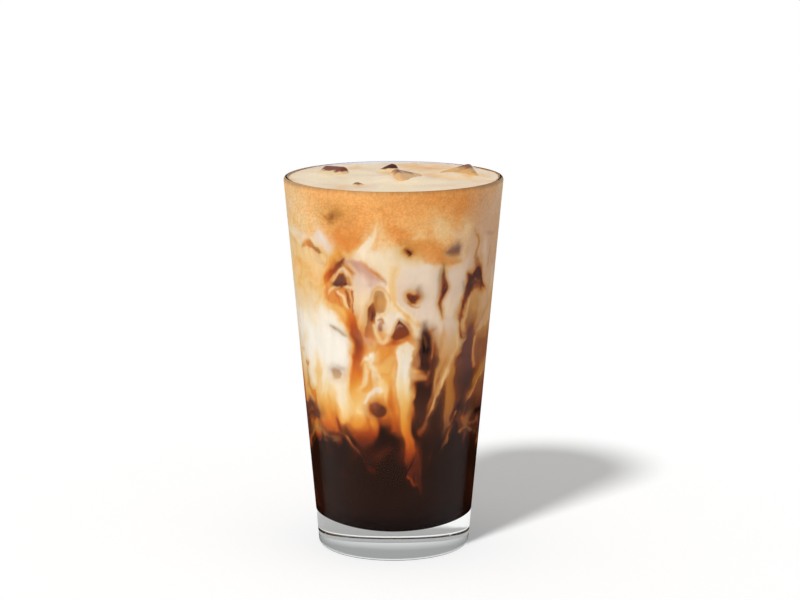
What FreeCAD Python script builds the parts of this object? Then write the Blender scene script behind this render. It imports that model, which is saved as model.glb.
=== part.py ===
import FreeCAD, Part

# Iced shaken espresso in a tapered tumbler, as a parametric document.
#
# The tumbler is pressed glass: a straight taper, a full round lip, and a heavy base with a
# dished floor inside and a shallow punt below. The drink fills its bore in three layers, dark
# coffee, marbled milk and espresso foam, and five ice cubes float in the top with their corners
# through the foam. Every layer takes its outside from the bore of the tumbler, and the foam and
# the milk are cut round the ice, so that all the pieces meet face to face.
#
# Frame: millimetres, +Z up, origin at the middle of the foot, +Y away from the drinker.

import math
import os

import Sketcher

SIZES = [
    # the tumbler
    ("glass_height", 153.0, "table to the top of the lip"),
    ("rim_radius", 44.6, "outside of the wall, at the lip"),
    ("foot_radius", 30.9, "outside of the wall, carried down to the table"),
    ("wall_at_rim", 2.3, "wall measured level, at the lip"),
    ("wall_at_foot", 3.5, "wall measured level, carried down to the table"),
    ("lip_round", 1.1, "inside and outside of the lip"),
    ("heel_round", 1.6, "between the wall and the foot"),
    ("floor_height", 8.75, "table to the lowest point of the bore"),
    ("floor_dish", 60.0, "radius of the sphere that the floor of the bore is part of"),
    ("floor_corner", 4.5, "round between the floor and the wall of the bore"),
    ("punt_radius", 22.0, "edge of the hollow under the foot"),
    ("punt_depth", 0.4, "middle of that hollow above the table"),
    # the drink
    ("fill_gap", 0.7, "top of the lip down to the foam at the wall"),
    ("foam_depth", 20.0, "foam at the wall, down to the milk"),
    ("foam_swing", 7.0, "how far the foot of the foam rises and falls"),
    ("coffee_depth", 43.0, "lowest point of the bore up to the milk"),
    ("coffee_swing", 5.0, "how far the top of the coffee rises and falls"),
    ("meniscus", 0.3, "how far the foam climbs the wall"),
    ("ripple", 0.25, "gentle waves of the foam between the cubes"),
    ("bare_ice", 2.6, "what the top of a cube shows above the foam drawn up round it"),
    # the ice
    ("ice_width", 17.5, "a cube across its open end, as it goes into the shaker"),
    ("ice_height", 17.0, "a cube from its open end to its bottom"),
    ("ice_draft", 5.0, "lean of its sides, in degrees"),
    ("ice_round", 2.4, "its edges and corners"),
    ("hollow_radius", 5.6, "edge of the hollow in its open end"),
    ("hollow_depth", 2.2, "middle of that hollow below the open end"),
]

# How each cube floats. Across and back place its middle, as shares of the bore's radius at the
# foam. Poke is how far its highest corner stands above the level foam, and melt is what the
# shaker has taken off its width and height, both in mm. The three turns are in degrees.
RAFT = [
    # name, across, back, poke, melt, tilt_x, tilt_y, spin
    ("ice_1", 0.12, -0.18, 4.2, 1.0, 14.0, 13.0, 16.0),
    ("ice_2", 0.66, 0.13, 4.2, 0.0, 13.0, -14.0, 10.0),
    ("ice_3", -0.09, 0.54, 2.6, 1.5, -21.0, -19.0, 30.0),
    ("ice_4", -0.60, 0.24, 3.1, 2.5, -2.0, -22.0, 52.0),
    ("ice_5", -0.29, -0.50, 1.0, 1.2, 26.0, 22.0, 10.0),
]

# The waves of each layer's edge along the wall. Each has its number of lobes round the tumbler,
# its share of the swing, and the bearing of one of its crests in degrees from +X.
FOAM_WAVES = [(1, 0.15, 60.0), (3, 0.35, 40.0), (5, 0.30, 106.0), (8, 0.20, 300.0)]
COFFEE_WAVES = [(1, 0.20, 20.0), (3, 0.35, 160.0), (5, 0.25, 235.0), (7, 0.20, 10.0)]
RIPPLE_WAVES = [(2, 0.6, 15.0), (5, 0.4, 140.0)]

NET_POINTS = 33  # points each way in the net that a layer's edge is drawn through
NET_REACH = 1.2  # half the net's width, in rim radii
MENISCUS_WIDTH = 2.5  # how far from the wall the foam starts to climb, mm
HUMP_SPREAD = 0.62  # width of the mound of foam round a cube, in ice widths
OVER_LIP = 10.0  # how far the bore is drawn on above the lip, mm
NEAR = 0.01  # two lengths closer than this are the same, mm

BORE_AT_RIM = "(Sizes.rim_radius - Sizes.wall_at_rim)"
BORE_AT_TABLE = "(Sizes.foot_radius - Sizes.wall_at_foot)"
BORE_LEAN = f"(({BORE_AT_RIM} - {BORE_AT_TABLE}) / Sizes.glass_height)"


# ---------------------------------------------------------------- document and sizes

doc = FreeCAD.newDocument("IcedShakenEspresso")


def make_sheet():
    """The spreadsheet of driving sizes: plain numbers, each with its alias and a note."""
    table = doc.addObject("Spreadsheet::Sheet", "Sizes")
    for row, (alias, value, note) in enumerate(SIZES, start=1):
        table.set(f"A{row}", alias)
        table.set(f"B{row}", str(value))
        table.set(f"C{row}", note)
        table.setAlias(f"B{row}", alias)
    doc.recompute()
    return table


sheet = make_sheet()


def size(alias):
    """A driving size, as a number."""
    return float(sheet.get(alias))


def value_of(expression):
    """What an expression over the sheet comes to, as a number."""
    return float(sheet.evalExpression(expression))


def bore_radius(height):
    """Radius of the tapered bore at a height above the table."""
    return value_of(BORE_AT_TABLE) + value_of(BORE_LEAN) * height


# ---------------------------------------------------------------- sketches and features


def new_body(name):
    body = doc.addObject("PartDesign::Body", name)
    body.Label = name
    return body


def new_sketch(body, name, role):
    """A sketch on one of the body's own origin planes."""
    sketch = body.newObject("Sketcher::SketchObject", name)
    plane = next(f for f in body.Origin.OriginFeatures if f.Role == role)
    sketch.AttachmentSupport = (plane, [""])
    sketch.MapMode = "FlatFace"
    return sketch


def bind(sketch, kind, where, expression):
    """Adds a dimension to a sketch and ties it to an expression over the sheet."""
    index = sketch.addConstraint(Sketcher.Constraint(kind, *where, value_of(expression)))
    sketch.setExpression(f"Constraints[{index}]", expression)


def close_loop(sketch, edges):
    """Joins each edge of a sketch to the next, and the last to the first."""
    for edge in range(edges):
        joint = Sketcher.Constraint("Coincident", edge, 2, (edge + 1) % edges, 1)
        sketch.addConstraint(joint)


def arc_about(height, radius, start, end):
    """An arc about a point on the sketch's upright axis, between two bearings."""
    centre = FreeCAD.Vector(0, height, 0)
    circle = Part.Circle(centre, FreeCAD.Vector(0, 0, 1), radius)
    return Part.ArcOfCircle(circle, start, end)


def line_to(start, end):
    return Part.LineSegment(FreeCAD.Vector(*start, 0), FreeCAD.Vector(*end, 0))


def wall_sketch(body):
    """Half the outside of the tumbler: the foot, the tapered wall and the level of the lip."""
    sketch = new_sketch(body, body.Name + "_wall_outline", "XZ_Plane")
    foot, rim, height = size("foot_radius"), size("rim_radius"), size("glass_height")
    corners = [(0, 0), (foot, 0), (rim, height), (0, height)]
    for number, corner in enumerate(corners):
        sketch.addGeometry(line_to(corner, corners[(number + 1) % 4]), False)
    close_loop(sketch, 4)
    sketch.addConstraint(Sketcher.Constraint("Coincident", 0, 1, -1, 1))
    sketch.addConstraint(Sketcher.Constraint("Horizontal", 0))
    sketch.addConstraint(Sketcher.Constraint("Horizontal", 2))
    sketch.addConstraint(Sketcher.Constraint("Vertical", 3))
    bind(sketch, "DistanceX", (0, 1, 0, 2), "Sizes.foot_radius")
    bind(sketch, "DistanceX", (2, 2, 2, 1), "Sizes.rim_radius")
    bind(sketch, "DistanceY", (3, 2, 3, 1), "Sizes.glass_height")
    return sketch


def bore_sketch(body):
    """Half the bore: the dished floor, then the tapered wall up past the lip."""
    sketch = new_sketch(body, body.Name + "_bore_outline", "XZ_Plane")
    floor, dish = size("floor_height"), size("floor_dish")
    top = size("glass_height") + OVER_LIP
    # where the dish meets the wall: x = table + lean * z on the sphere about (0, floor + dish)
    lean, table = value_of(BORE_LEAN), value_of(BORE_AT_TABLE)
    a = 1 + lean**2
    b = 2 * (lean * table - (floor + dish))
    c = table**2 + (floor + dish) ** 2 - dish**2
    meet = (-b - math.sqrt(b**2 - 4 * a * c)) / (2 * a)
    corner = (bore_radius(meet), meet)
    swing = math.atan2(corner[1] - floor - dish, corner[0])
    sketch.addGeometry(arc_about(floor + dish, dish, -math.pi / 2, swing), False)
    sketch.addGeometry(line_to(corner, (bore_radius(top), top)), False)
    sketch.addGeometry(line_to((bore_radius(top), top), (0, top)), False)
    sketch.addGeometry(line_to((0, top), (0, floor)), False)
    sketch.addGeometry(Part.Point(FreeCAD.Vector(table, 0, 0)), True)
    close_loop(sketch, 4)
    sketch.addConstraint(Sketcher.Constraint("PointOnObject", 0, 1, -2))
    sketch.addConstraint(Sketcher.Constraint("PointOnObject", 0, 3, -2))
    sketch.addConstraint(Sketcher.Constraint("PointOnObject", 2, 2, -2))
    sketch.addConstraint(Sketcher.Constraint("Horizontal", 2))
    sketch.addConstraint(Sketcher.Constraint("PointOnObject", 4, 1, -1))
    sketch.addConstraint(Sketcher.Constraint("PointOnObject", 4, 1, 1))
    bind(sketch, "DistanceX", (-1, 1, 4, 1), BORE_AT_TABLE)
    bind(sketch, "DistanceY", (-1, 1, 0, 1), "Sizes.floor_height")
    bind(sketch, "Radius", (0,), "Sizes.floor_dish")
    bind(sketch, "DistanceY", (-1, 1, 1, 2), f"Sizes.glass_height + {OVER_LIP}")
    bind(sketch, "DistanceX", (-1, 1, 1, 2), f"{BORE_AT_RIM} + {BORE_LEAN} * {OVER_LIP}")
    return sketch


def hollow_sketch(body, edge, depth):
    """Half a shallow round hollow that goes up from the plane z = 0."""
    sketch = new_sketch(body, body.Name + "_hollow_outline", "XZ_Plane")
    wide, deep = value_of(edge), value_of(depth)
    radius = (wide**2 + deep**2) / (2 * deep)
    start = math.atan2(radius - deep, wide)
    sketch.addGeometry(arc_about(deep - radius, radius, start, math.pi / 2), False)
    sketch.addGeometry(line_to((0, deep), (0, 0)), False)
    sketch.addGeometry(line_to((0, 0), (wide, 0)), False)
    close_loop(sketch, 3)
    sketch.addConstraint(Sketcher.Constraint("Coincident", 1, 2, -1, 1))
    sketch.addConstraint(Sketcher.Constraint("PointOnObject", 0, 3, -2))
    sketch.addConstraint(Sketcher.Constraint("PointOnObject", 0, 2, -2))
    sketch.addConstraint(Sketcher.Constraint("PointOnObject", 0, 1, -1))
    bind(sketch, "DistanceX", (-1, 1, 0, 1), edge)
    bind(sketch, "DistanceY", (-1, 1, 0, 2), depth)
    return sketch


def turn(body, kind, sketch):
    """A full turn of a sketch about its upright axis: a Revolution adds, a Groove cuts."""
    before = body.Shape.Volume if body.Tip else 0.0
    feature = body.newObject(f"PartDesign::{kind}", f"{sketch.Name}_{kind.lower()}")
    feature.Profile = sketch
    feature.ReferenceAxis = (sketch, ["V_Axis"])
    feature.Angle = 360.0
    sketch.Visibility = False
    doc.recompute()
    grown = body.Shape.Volume - before
    if (kind == "Groove") == (grown > -NEAR):
        raise RuntimeError(f"{feature.Name} changed the volume by {grown:.3f} mm3")
    return feature


def round_edges(body, name, radius, chosen):
    """Fillets the edges of the body's tip that the test picks, by an expression."""
    tip = body.Tip
    names = [f"Edge{n}" for n, e in enumerate(tip.Shape.Edges, start=1) if chosen(e)]
    if not names:
        raise RuntimeError(f"{name}: no edge to round")
    fillet = body.newObject("PartDesign::Fillet", f"{body.Name}_{name}")
    fillet.Base = (tip, names)
    fillet.Radius = value_of(radius)
    fillet.setExpression("Radius", radius)
    doc.recompute()
    return fillet


def ring(low, high):
    """A test for round edges that lie level between two heights. A pole is no such edge."""

    def chosen(edge):
        if edge.Degenerated or not isinstance(edge.Curve, Part.Circle):
            return False
        box = edge.BoundBox
        return box.ZLength < NEAR and low - NEAR < box.ZMin < high + NEAR

    return chosen


def round_floor(body):
    """Rounds the corner between the dished floor of a bore and its wall."""
    floor = size("floor_height")
    corner = ring(floor + NEAR, floor + size("floor_dish"))
    round_edges(body, "floor_corner", "Sizes.floor_corner", corner)


# ---------------------------------------------------------------- the tumbler


def make_glass():
    """The tumbler, turned and then bored, hollowed and rounded."""
    body = new_body("glass")
    turn(body, "Revolution", wall_sketch(body))
    turn(body, "Groove", bore_sketch(body))
    turn(body, "Groove", hollow_sketch(body, "Sizes.punt_radius", "Sizes.punt_depth"))
    round_floor(body)

    def heel(edge):
        return ring(0, 0)(edge) and abs(edge.Curve.Radius - size("foot_radius")) < NEAR

    round_edges(body, "heel", "Sizes.heel_round", heel)
    lip = "min(Sizes.lip_round; 0.48 * Sizes.wall_at_rim)"
    round_edges(body, "lip", lip, ring(size("glass_height"), size("glass_height")))
    return body


def make_bore():
    """The room inside the tumbler, drawn on past its lip, which the drink is cut from."""
    body = new_body("bore")
    turn(body, "Revolution", bore_sketch(body))
    round_floor(body)
    return body


# ---------------------------------------------------------------- the ice


def make_cube(name, melt):
    """A moulded cube: square, narrower below, with a round hollow in its open end.

    The open end lies on the plane z = 0 of its own body, and the cube stands on it.
    """
    body = new_body(f"{name}_cube")
    outline = new_sketch(body, f"{name}_outline", "XY_Plane")
    half = (size("ice_width") - melt) / 2
    corners = [(-half, -half), (half, -half), (half, half), (-half, half)]
    for number, corner in enumerate(corners):
        outline.addGeometry(line_to(corner, corners[(number + 1) % 4]), False)
    close_loop(outline, 4)
    for edge, level in enumerate(("Horizontal", "Vertical", "Horizontal", "Vertical")):
        outline.addConstraint(Sketcher.Constraint(level, edge))
    outline.addConstraint(Sketcher.Constraint("Symmetric", 0, 1, 2, 1, -1, 1))
    width = f"Sizes.ice_width - {melt}"
    bind(outline, "DistanceX", (0, 1, 0, 2), width)
    bind(outline, "DistanceY", (1, 1, 1, 2), width)

    pad = body.newObject("PartDesign::Pad", f"{name}_block")
    pad.Profile = outline
    pad.setExpression("Length", f"Sizes.ice_height - {melt}")
    pad.setExpression("TaperAngle", "-Sizes.ice_draft")
    outline.Visibility = False
    doc.recompute()
    round_edges(body, "corners", "Sizes.ice_round", lambda edge: True)
    turn(body, "Groove", hollow_sketch(body, "Sizes.hollow_radius", "Sizes.hollow_depth"))
    return body


def float_cube(body, across, back, poke, turns):
    """Turns a cube, and floats it with its highest corner the poke above the level foam."""
    tilt_x, tilt_y, spin = turns
    foam_level = size("glass_height") - size("fill_gap")
    reach = bore_radius(foam_level)
    level = FreeCAD.Rotation(spin, tilt_y, tilt_x)
    middle = FreeCAD.Vector(0, 0, size("ice_height") / 2)
    body.Placement = FreeCAD.Placement(FreeCAD.Vector(), level)
    doc.recompute()
    turned = level.multVec(middle)
    top = body.Shape.optimalBoundingBox(False, False).ZMax
    place = FreeCAD.Vector(
        across * reach - turned.x, back * reach - turned.y, foam_level + poke - top
    )
    body.Placement = FreeCAD.Placement(place, level)
    doc.recompute()


def make_raft(bore):
    """The floating cubes. One that meets the wall or an earlier cube is melted back to it."""
    cubes = []
    for name, across, back, poke, melt, *turns in RAFT:
        body = make_cube(name, melt)
        float_cube(body, across, back, poke, turns)
        shape = combine("Common", f"{name}_in_bore", body, bore)
        for earlier in cubes:
            shape = combine("Cut", f"{name}_clear_of_{earlier.Name}", shape, earlier)
        cubes.append(shape)
    return cubes


# ---------------------------------------------------------------- the layers of the drink


def combine(kind, name, base, tool):
    """A boolean of two objects of the document: a Common or a Cut."""
    feature = doc.addObject(f"Part::{kind}", name)
    feature.Base = base
    feature.Tool = tool
    doc.recompute()
    return feature


def wave_at(x, y, waves):
    """Sum of a layer's waves at a point, one at the crests. Each fades towards the middle."""
    share_out = math.hypot(x, y) / size("rim_radius")
    bearing = math.degrees(math.atan2(y, x))
    return sum(
        share * share_out**lobes * math.cos(math.radians(lobes * (bearing - crest)))
        for lobes, share, crest in waves
    )


def below(name, height_at):
    """All that lies under a smooth skin, as a Part::Feature for cutting the layers."""
    reach = NET_REACH * size("rim_radius")
    steps = [reach * (2 * n / (NET_POINTS - 1) - 1) for n in range(NET_POINTS)]
    net = [[FreeCAD.Vector(x, y, height_at(x, y)) for y in steps] for x in steps]
    skin = Part.BSplineSurface()
    skin.interpolate(net)
    deep = size("glass_height") + 2 * OVER_LIP
    feature = doc.addObject("Part::Feature", name)
    feature.Shape = skin.toShape().extrude(FreeCAD.Vector(0, 0, -deep))
    return feature


def coffee_top(x, y):
    level = size("floor_height") + size("coffee_depth")
    return level + size("coffee_swing") * wave_at(x, y, COFFEE_WAVES)


def foam_foot(x, y):
    level = size("glass_height") - size("fill_gap") - size("foam_depth")
    return level + size("foam_swing") * wave_at(x, y, FOAM_WAVES)


def foam_top(x, y):
    """The foam: level and faintly rippled, up the wall a little, and mounded on the cubes."""
    level = size("glass_height") - size("fill_gap")
    reach = bore_radius(level)
    climb = math.exp(-max(reach - math.hypot(x, y), 0.0) / MENISCUS_WIDTH)
    spread = HUMP_SPREAD * size("ice_width")
    mound = 0.0
    for _name, across, back, poke, *_rest in RAFT:
        away = math.hypot(x - across * reach, y - back * reach)
        tall = poke - size("bare_ice")
        mound = max(mound, tall * math.exp(-((away / spread) ** 4)))
    ripple = size("ripple") * wave_at(x, y, RIPPLE_WAVES)
    return level + size("meniscus") * climb + ripple + mound


def make_drink(bore, cubes):
    """Coffee, milk and foam, each cut from the bore by the skins above and below it."""
    under_coffee = below("under_coffee_top", coffee_top)
    under_milk = below("under_foam_foot", foam_foot)
    under_foam = below("under_foam_top", foam_top)
    ice = doc.addObject("Part::Compound", "all_ice")
    ice.Links = cubes
    doc.recompute()
    coffee = combine("Common", "coffee_layer", bore, under_coffee)
    to_milk = combine("Common", "coffee_and_milk", bore, under_milk)
    milk = combine("Cut", "milk_over_coffee", to_milk, under_coffee)
    to_foam = combine("Common", "whole_drink", bore, under_foam)
    foam = combine("Cut", "foam_over_milk", to_foam, under_milk)
    return {
        "coffee": coffee,
        "milk": combine("Cut", "milk_round_ice", milk, ice),
        "foam": combine("Cut", "foam_round_ice", foam, ice),
    }


# ---------------------------------------------------------------- check and write


def check_document(nodes):
    """Stops on any object that failed, and on any node that is not one sound solid."""
    for thing in doc.Objects:
        if {"Invalid", "Error"} & set(thing.State):
            raise RuntimeError(f"{thing.Name} is {thing.State}")
    for name, feature in nodes.items():
        shape = feature.Shape
        if shape.isNull() or not shape.isValid() or len(shape.Solids) != 1:
            raise RuntimeError(f"{name}: {len(shape.Solids)} solids, valid {shape.isValid()}")


def write_parts(nodes):
    """Labels each node after its file, writes its one solid, and prints its size."""
    os.makedirs("parts", exist_ok=True)
    for name, feature in nodes.items():
        feature.Label = name
        solid = feature.Shape.Solids[0]
        solid.exportStep(f"parts/{name}.step")
        box = solid.optimalBoundingBox(False, False)
        spans = f"{box.XLength:.1f} x {box.YLength:.1f} x {box.ZLength:.1f} mm"
        print(f"{name}: {solid.Volume / 1000:.2f} ml, {spans}, z from {box.ZMin:.1f}")


def main():
    glass = make_glass()
    bore = make_bore()
    cubes = make_raft(bore)
    nodes = {"glass": glass}
    nodes.update(make_drink(bore, cubes))
    nodes.update({entry[0]: cube for entry, cube in zip(RAFT, cubes)})
    doc.recompute()
    check_document(nodes)
    write_parts(nodes)


main()
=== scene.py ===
"""Iced shaken espresso in a clear tumbler: finishes, marbling, ice, light and camera.

The sizes are the CAD model's. The tumbler is turned again from the same section, with finer
rounds. The coffee, milk and foam are each replaced by a piece that reaches just into its wall.
What shows through the wall is laid on them as plumes, streaks and windows of ice, each at a
bearing round the wall and a height above the table. The cubes keep their CAD meshes.
"""

import logging
import math
from dataclasses import dataclass, replace
from enum import Enum

import bpy
import numpy as np
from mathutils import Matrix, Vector


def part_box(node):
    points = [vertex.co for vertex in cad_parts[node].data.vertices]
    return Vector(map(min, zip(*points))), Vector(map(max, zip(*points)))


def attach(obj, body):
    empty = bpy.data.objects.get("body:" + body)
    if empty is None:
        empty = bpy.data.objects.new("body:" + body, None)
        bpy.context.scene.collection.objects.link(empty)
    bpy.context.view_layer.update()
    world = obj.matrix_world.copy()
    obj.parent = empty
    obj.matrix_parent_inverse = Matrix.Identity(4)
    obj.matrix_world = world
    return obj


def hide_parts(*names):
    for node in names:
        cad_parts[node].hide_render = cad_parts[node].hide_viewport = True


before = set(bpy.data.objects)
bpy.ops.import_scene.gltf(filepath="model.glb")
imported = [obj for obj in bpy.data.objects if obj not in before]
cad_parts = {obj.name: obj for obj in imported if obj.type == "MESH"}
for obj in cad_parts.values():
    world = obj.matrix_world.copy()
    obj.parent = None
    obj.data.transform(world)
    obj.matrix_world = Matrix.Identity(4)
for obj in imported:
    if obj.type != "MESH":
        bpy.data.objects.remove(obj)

MM = 0.001
BODY = "root"
log = logging.getLogger("iced_espresso")


# ---------------------------------------------------------------- colour


def hex_parts(code: str) -> np.ndarray:
    """The three parts of an sRGB hex colour, from 0 to 1."""
    return np.array([int(code[i : i + 2], 16) / 255 for i in (1, 3, 5)])


def linearised(colours: np.ndarray) -> np.ndarray:
    """Turns sRGB numbers from 0 to 1 to linear light."""
    return np.where(colours <= 0.04045, colours / 12.92, ((colours + 0.055) / 1.055) ** 2.4)


def to_linear(code: str) -> tuple[float, float, float, float]:
    """An sRGB hex colour, such as "#f6e7d3", as linear red, green and blue and an alpha of one."""
    red, green, blue = linearised(hex_parts(code)).tolist()
    return red, green, blue, 1.0


class Tint(Enum):
    """What the drink looks like at the wall, by how much coffee lies in front of the milk. Some of them are
    also laid on as painted light: greys for painted shadows of ice, pale tints for painted highlights and
    for a painted haze of reflection at the edges of the glass, and duskier tints for painted shade on the
    right.
    """

    FROTH = "#ffeac6"
    MILK = "#fbeee0"
    CREAM = "#f7e0c3"
    BLUSH = "#efd5c0"
    PINK = "#e9c8b0"
    PEACH = "#f4d3a8"
    BUTTER = "#f5d299"
    HONEY = "#f0b35f"
    AMBER = "#e79435"
    ORANGE = "#d76c22"
    RUST = "#a9431a"
    CHESTNUT = "#7a371f"
    MAROON = "#4c2118"
    BARK = "#4f2a1e"
    COFFEE = "#25110a"
    NIGHT = "#170a08"
    EMBER = "#5e2615"
    CREMA = "#f6b068"
    CREMA_DARK = "#e48f45"
    CREMA_PALE = "#f6cd96"
    DUSTY = "#e2b390"
    TAN = "#e0ad7a"
    SIENNA = "#d5924f"
    GOLD = "#c17c30"
    CARAMEL = "#c08a55"
    TOFFEE = "#a8693a"
    OLIVE = "#94703c"
    UMBER = "#6e4828"
    UMBRA = "#9a5e42"
    MAUVE = "#cb9480"
    ROSE = "#dbae98"
    PLUM = "#6e3f36"
    DUSK = "#906a5b"
    SMOKE = "#8f8076"
    LILAC = "#eadad6"


def tint_array(tint: Tint) -> np.ndarray:
    """A tint as three sRGB numbers from 0 to 1, mixed as the eye reads them."""
    return hex_parts(tint.value)


# ---------------------------------------------------------------- the wall and its noise

NOISE_ROWS = 97  # rows of noise cells before the pattern comes again up the wall
MEAN_RADIUS = 37.0  # of the wall of the drink, in millimetres


@dataclass
class Wall:
    """Points on the wall of the drink, as flat arrays of one length.

    Args:
        bearing: degrees round from +X; the drinker sits at -90.
        height: millimetres above the table.
        radius: millimetres from the axis.
    """

    bearing: np.ndarray
    height: np.ndarray
    radius: np.ndarray

    def shifted(self, across: np.ndarray, up: np.ndarray) -> "Wall":
        """The same wall with each point moved by so many millimetres."""
        turn = np.degrees(across / self.radius)
        return Wall(self.bearing + turn, self.height + up, self.radius)

    def local(self, bearing: float, height: float) -> tuple[np.ndarray, np.ndarray]:
        """Millimetres across and up from one place on the wall."""
        turn = (self.bearing - bearing + 180) % 360 - 180
        return np.radians(turn) * self.radius, self.height - height


def smooth(x: np.ndarray) -> np.ndarray:
    """A soft step from 0 to 1 as x goes from 0 to 1."""
    x = np.clip(x, 0, 1)
    return x * x * (3 - 2 * x)


def value_noise(
    bearing: np.ndarray, height: np.ndarray, cells: int, tall: float, seed: int
) -> np.ndarray:
    """Smooth noise that closes on itself round the wall.

    Args:
        bearing: degrees.
        height: millimetres.
        cells: cells in one turn.
        tall: height of a cell in millimetres.
        seed: picks the pattern.

    Returns:
        Values from -1 to 1.
    """
    rows = NOISE_ROWS
    table = np.random.default_rng(seed).uniform(-1, 1, (cells, rows))
    u = (bearing / 360 % 1) * cells
    v = height / tall
    i, j = np.floor(u).astype(int), np.floor(v).astype(int)
    s, t = smooth(u - i), smooth(v - j)
    i0, i1, j0, j1 = i % cells, (i + 1) % cells, j % rows, (j + 1) % rows
    low = table[i0, j0] * (1 - s) + table[i1, j0] * s
    high = table[i0, j1] * (1 - s) + table[i1, j1] * s
    return low * (1 - t) + high * t


def turbulence(wall: Wall, size: float, tall: float, octaves: int, seed: int) -> np.ndarray:
    """Several sizes of noise added up, each half the last.

    Args:
        wall: where to read it.
        size: width of the largest swirl in millimetres, at the middle of the wall.
        tall: its height in millimetres.
        octaves: how many sizes.
        seed: picks the pattern.

    Returns:
        Values from about -1 to 1.
    """
    total, share, norm = 0.0, 1.0, 0.0
    for octave in range(octaves):
        cells = max(3, round(2 * math.pi * MEAN_RADIUS / size * 2**octave))
        high = tall / 2**octave
        layer = value_noise(wall.bearing, wall.height, cells, high, seed + octave)
        total = total + share * layer
        norm += share
        share *= 0.5
    return total / norm * 1.5


# ---------------------------------------------------------------- strokes


Place = tuple[float, float]
Station = tuple[float, float, float]


def through(stations: tuple[Station, ...], steps: int = 6) -> np.ndarray:
    """A smooth curve through some stations, as rows of bearing, height and half width."""
    points = np.array(stations, float)
    if len(points) < 3:
        return points
    ends = np.vstack([2 * points[0] - points[1], points, 2 * points[-1] - points[-2]])
    found = []
    for a, b, c, d in zip(ends, ends[1:], ends[2:], ends[3:]):
        for t in np.arange(steps) / steps:
            bend = (2 * a - 5 * b + 4 * c - d) * t**2 + (3 * b - a - 3 * c + d) * t**3
            found.append(0.5 * (2 * b + (c - a) * t + bend))
    found.append(points[-1])
    return np.array(found)


def off_edge(
    x: np.ndarray, y: np.ndarray, start: tuple[np.ndarray, float], end: tuple[np.ndarray, float]
) -> tuple[np.ndarray, np.ndarray]:
    """How far points lie from a straight edge.

    Args:
        x: the points, in millimetres across.
        y: the same, in millimetres up.
        start: where the edge begins. Its place across differs with the radius of the wall.
        end: where it ends.

    Returns:
        How far along the edge the nearest place is, from 0 to 1, and how far off it lies.
    """
    (ax, ay), (bx, by) = start, end
    length = np.maximum((bx - ax) ** 2 + (by - ay) ** 2, 1e-9)
    t = np.clip(((x - ax) * (bx - ax) + (y - ay) * (by - ay)) / length, 0, 1)
    return t, np.hypot(x - ax - t * (bx - ax), y - ay - t * (by - ay))


class Brush:
    """What every stroke has: a blurred edge, and a faint glow of milk or coffee beyond it."""

    soft: float

    @property
    def haze(self) -> float:
        """How far that glow reaches, in millimetres."""
        return 1.5 * self.soft + 1.0

    @property
    def glow(self) -> float:
        """How strong it is."""
        return 0.34


@dataclass(frozen=True)
class Streak(Brush):
    """A plume or streak along a smooth line on the wall.

    Args:
        tints: its colours from the first station to the last, evenly spread.
        path: stations of bearing in degrees, height and half width in millimetres.
        soft: width of its blurred edge in millimetres.
        strength: 1 hides what is under it.
        foamy: 1 where it is full of fine bubbles, 0 where it is liquid.
        calm: True for a thing with a firm outline, which the swirls don't bend.
    """

    tints: tuple[Tint, ...]
    path: tuple[Station, ...]
    soft: float = 1.4
    strength: float = 1.0
    foamy: float = 0.0
    calm: bool = False

    def moved(self, turn: float, lift: float) -> "Streak":
        """The same streak, turned round the wall by degrees and lifted by millimetres."""
        return replace(self, path=tuple((b + turn, h + lift, w) for b, h, w in self.path))

    @property
    def glow(self) -> float:
        """How strong its glow is: next to nothing round a thin line."""
        return super().glow * min(1.0, max(width for _, _, width in self.path) / 2.0)

    def gap(self, wall: Wall) -> tuple[np.ndarray, np.ndarray, np.ndarray]:
        """Finds how far points lie from the streak.

        Args:
            wall: the points to test.

        Returns:
            Indices of the points that it may reach, how far each lies outside it in
            millimetres, and how far along its line, from 0 to 1.
        """
        line = through(self.path)
        middle, level = line[:, 0].mean(), line[:, 1].mean()
        across, up = wall.local(middle, level)
        reach = line[:, 2].max() + self.haze
        per_degree = math.radians(1) * wall.radius.mean()
        width = (line[:, 0].max() - line[:, 0].min()) * per_degree * 0.62 + reach + 3
        tall = (line[:, 1].max() - line[:, 1].min()) * 0.5 + reach
        mid_up = (line[:, 1].max() + line[:, 1].min()) / 2 - level
        near = np.nonzero((np.abs(across) < width) & (np.abs(up - mid_up) < tall))[0]
        x, y, r = across[near], up[near], wall.radius[near]
        best = np.full(len(near), 1e9)
        along = np.zeros(len(near))
        turns = np.radians(line[:, 0] - middle)
        spans = max(len(line) - 1, 1)
        for n in range(spans):
            m = min(n + 1, len(line) - 1)
            ends = [(turns[k] * r, line[k, 1] - level) for k in (n, m)]
            t, gap = off_edge(x, y, *ends)
            gap = gap - (line[n, 2] * (1 - t) + line[m, 2] * t)
            closer = gap < best
            best = np.where(closer, gap, best)
            along = np.where(closer, (n + t) / spans, along)
        return near, best, along


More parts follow.
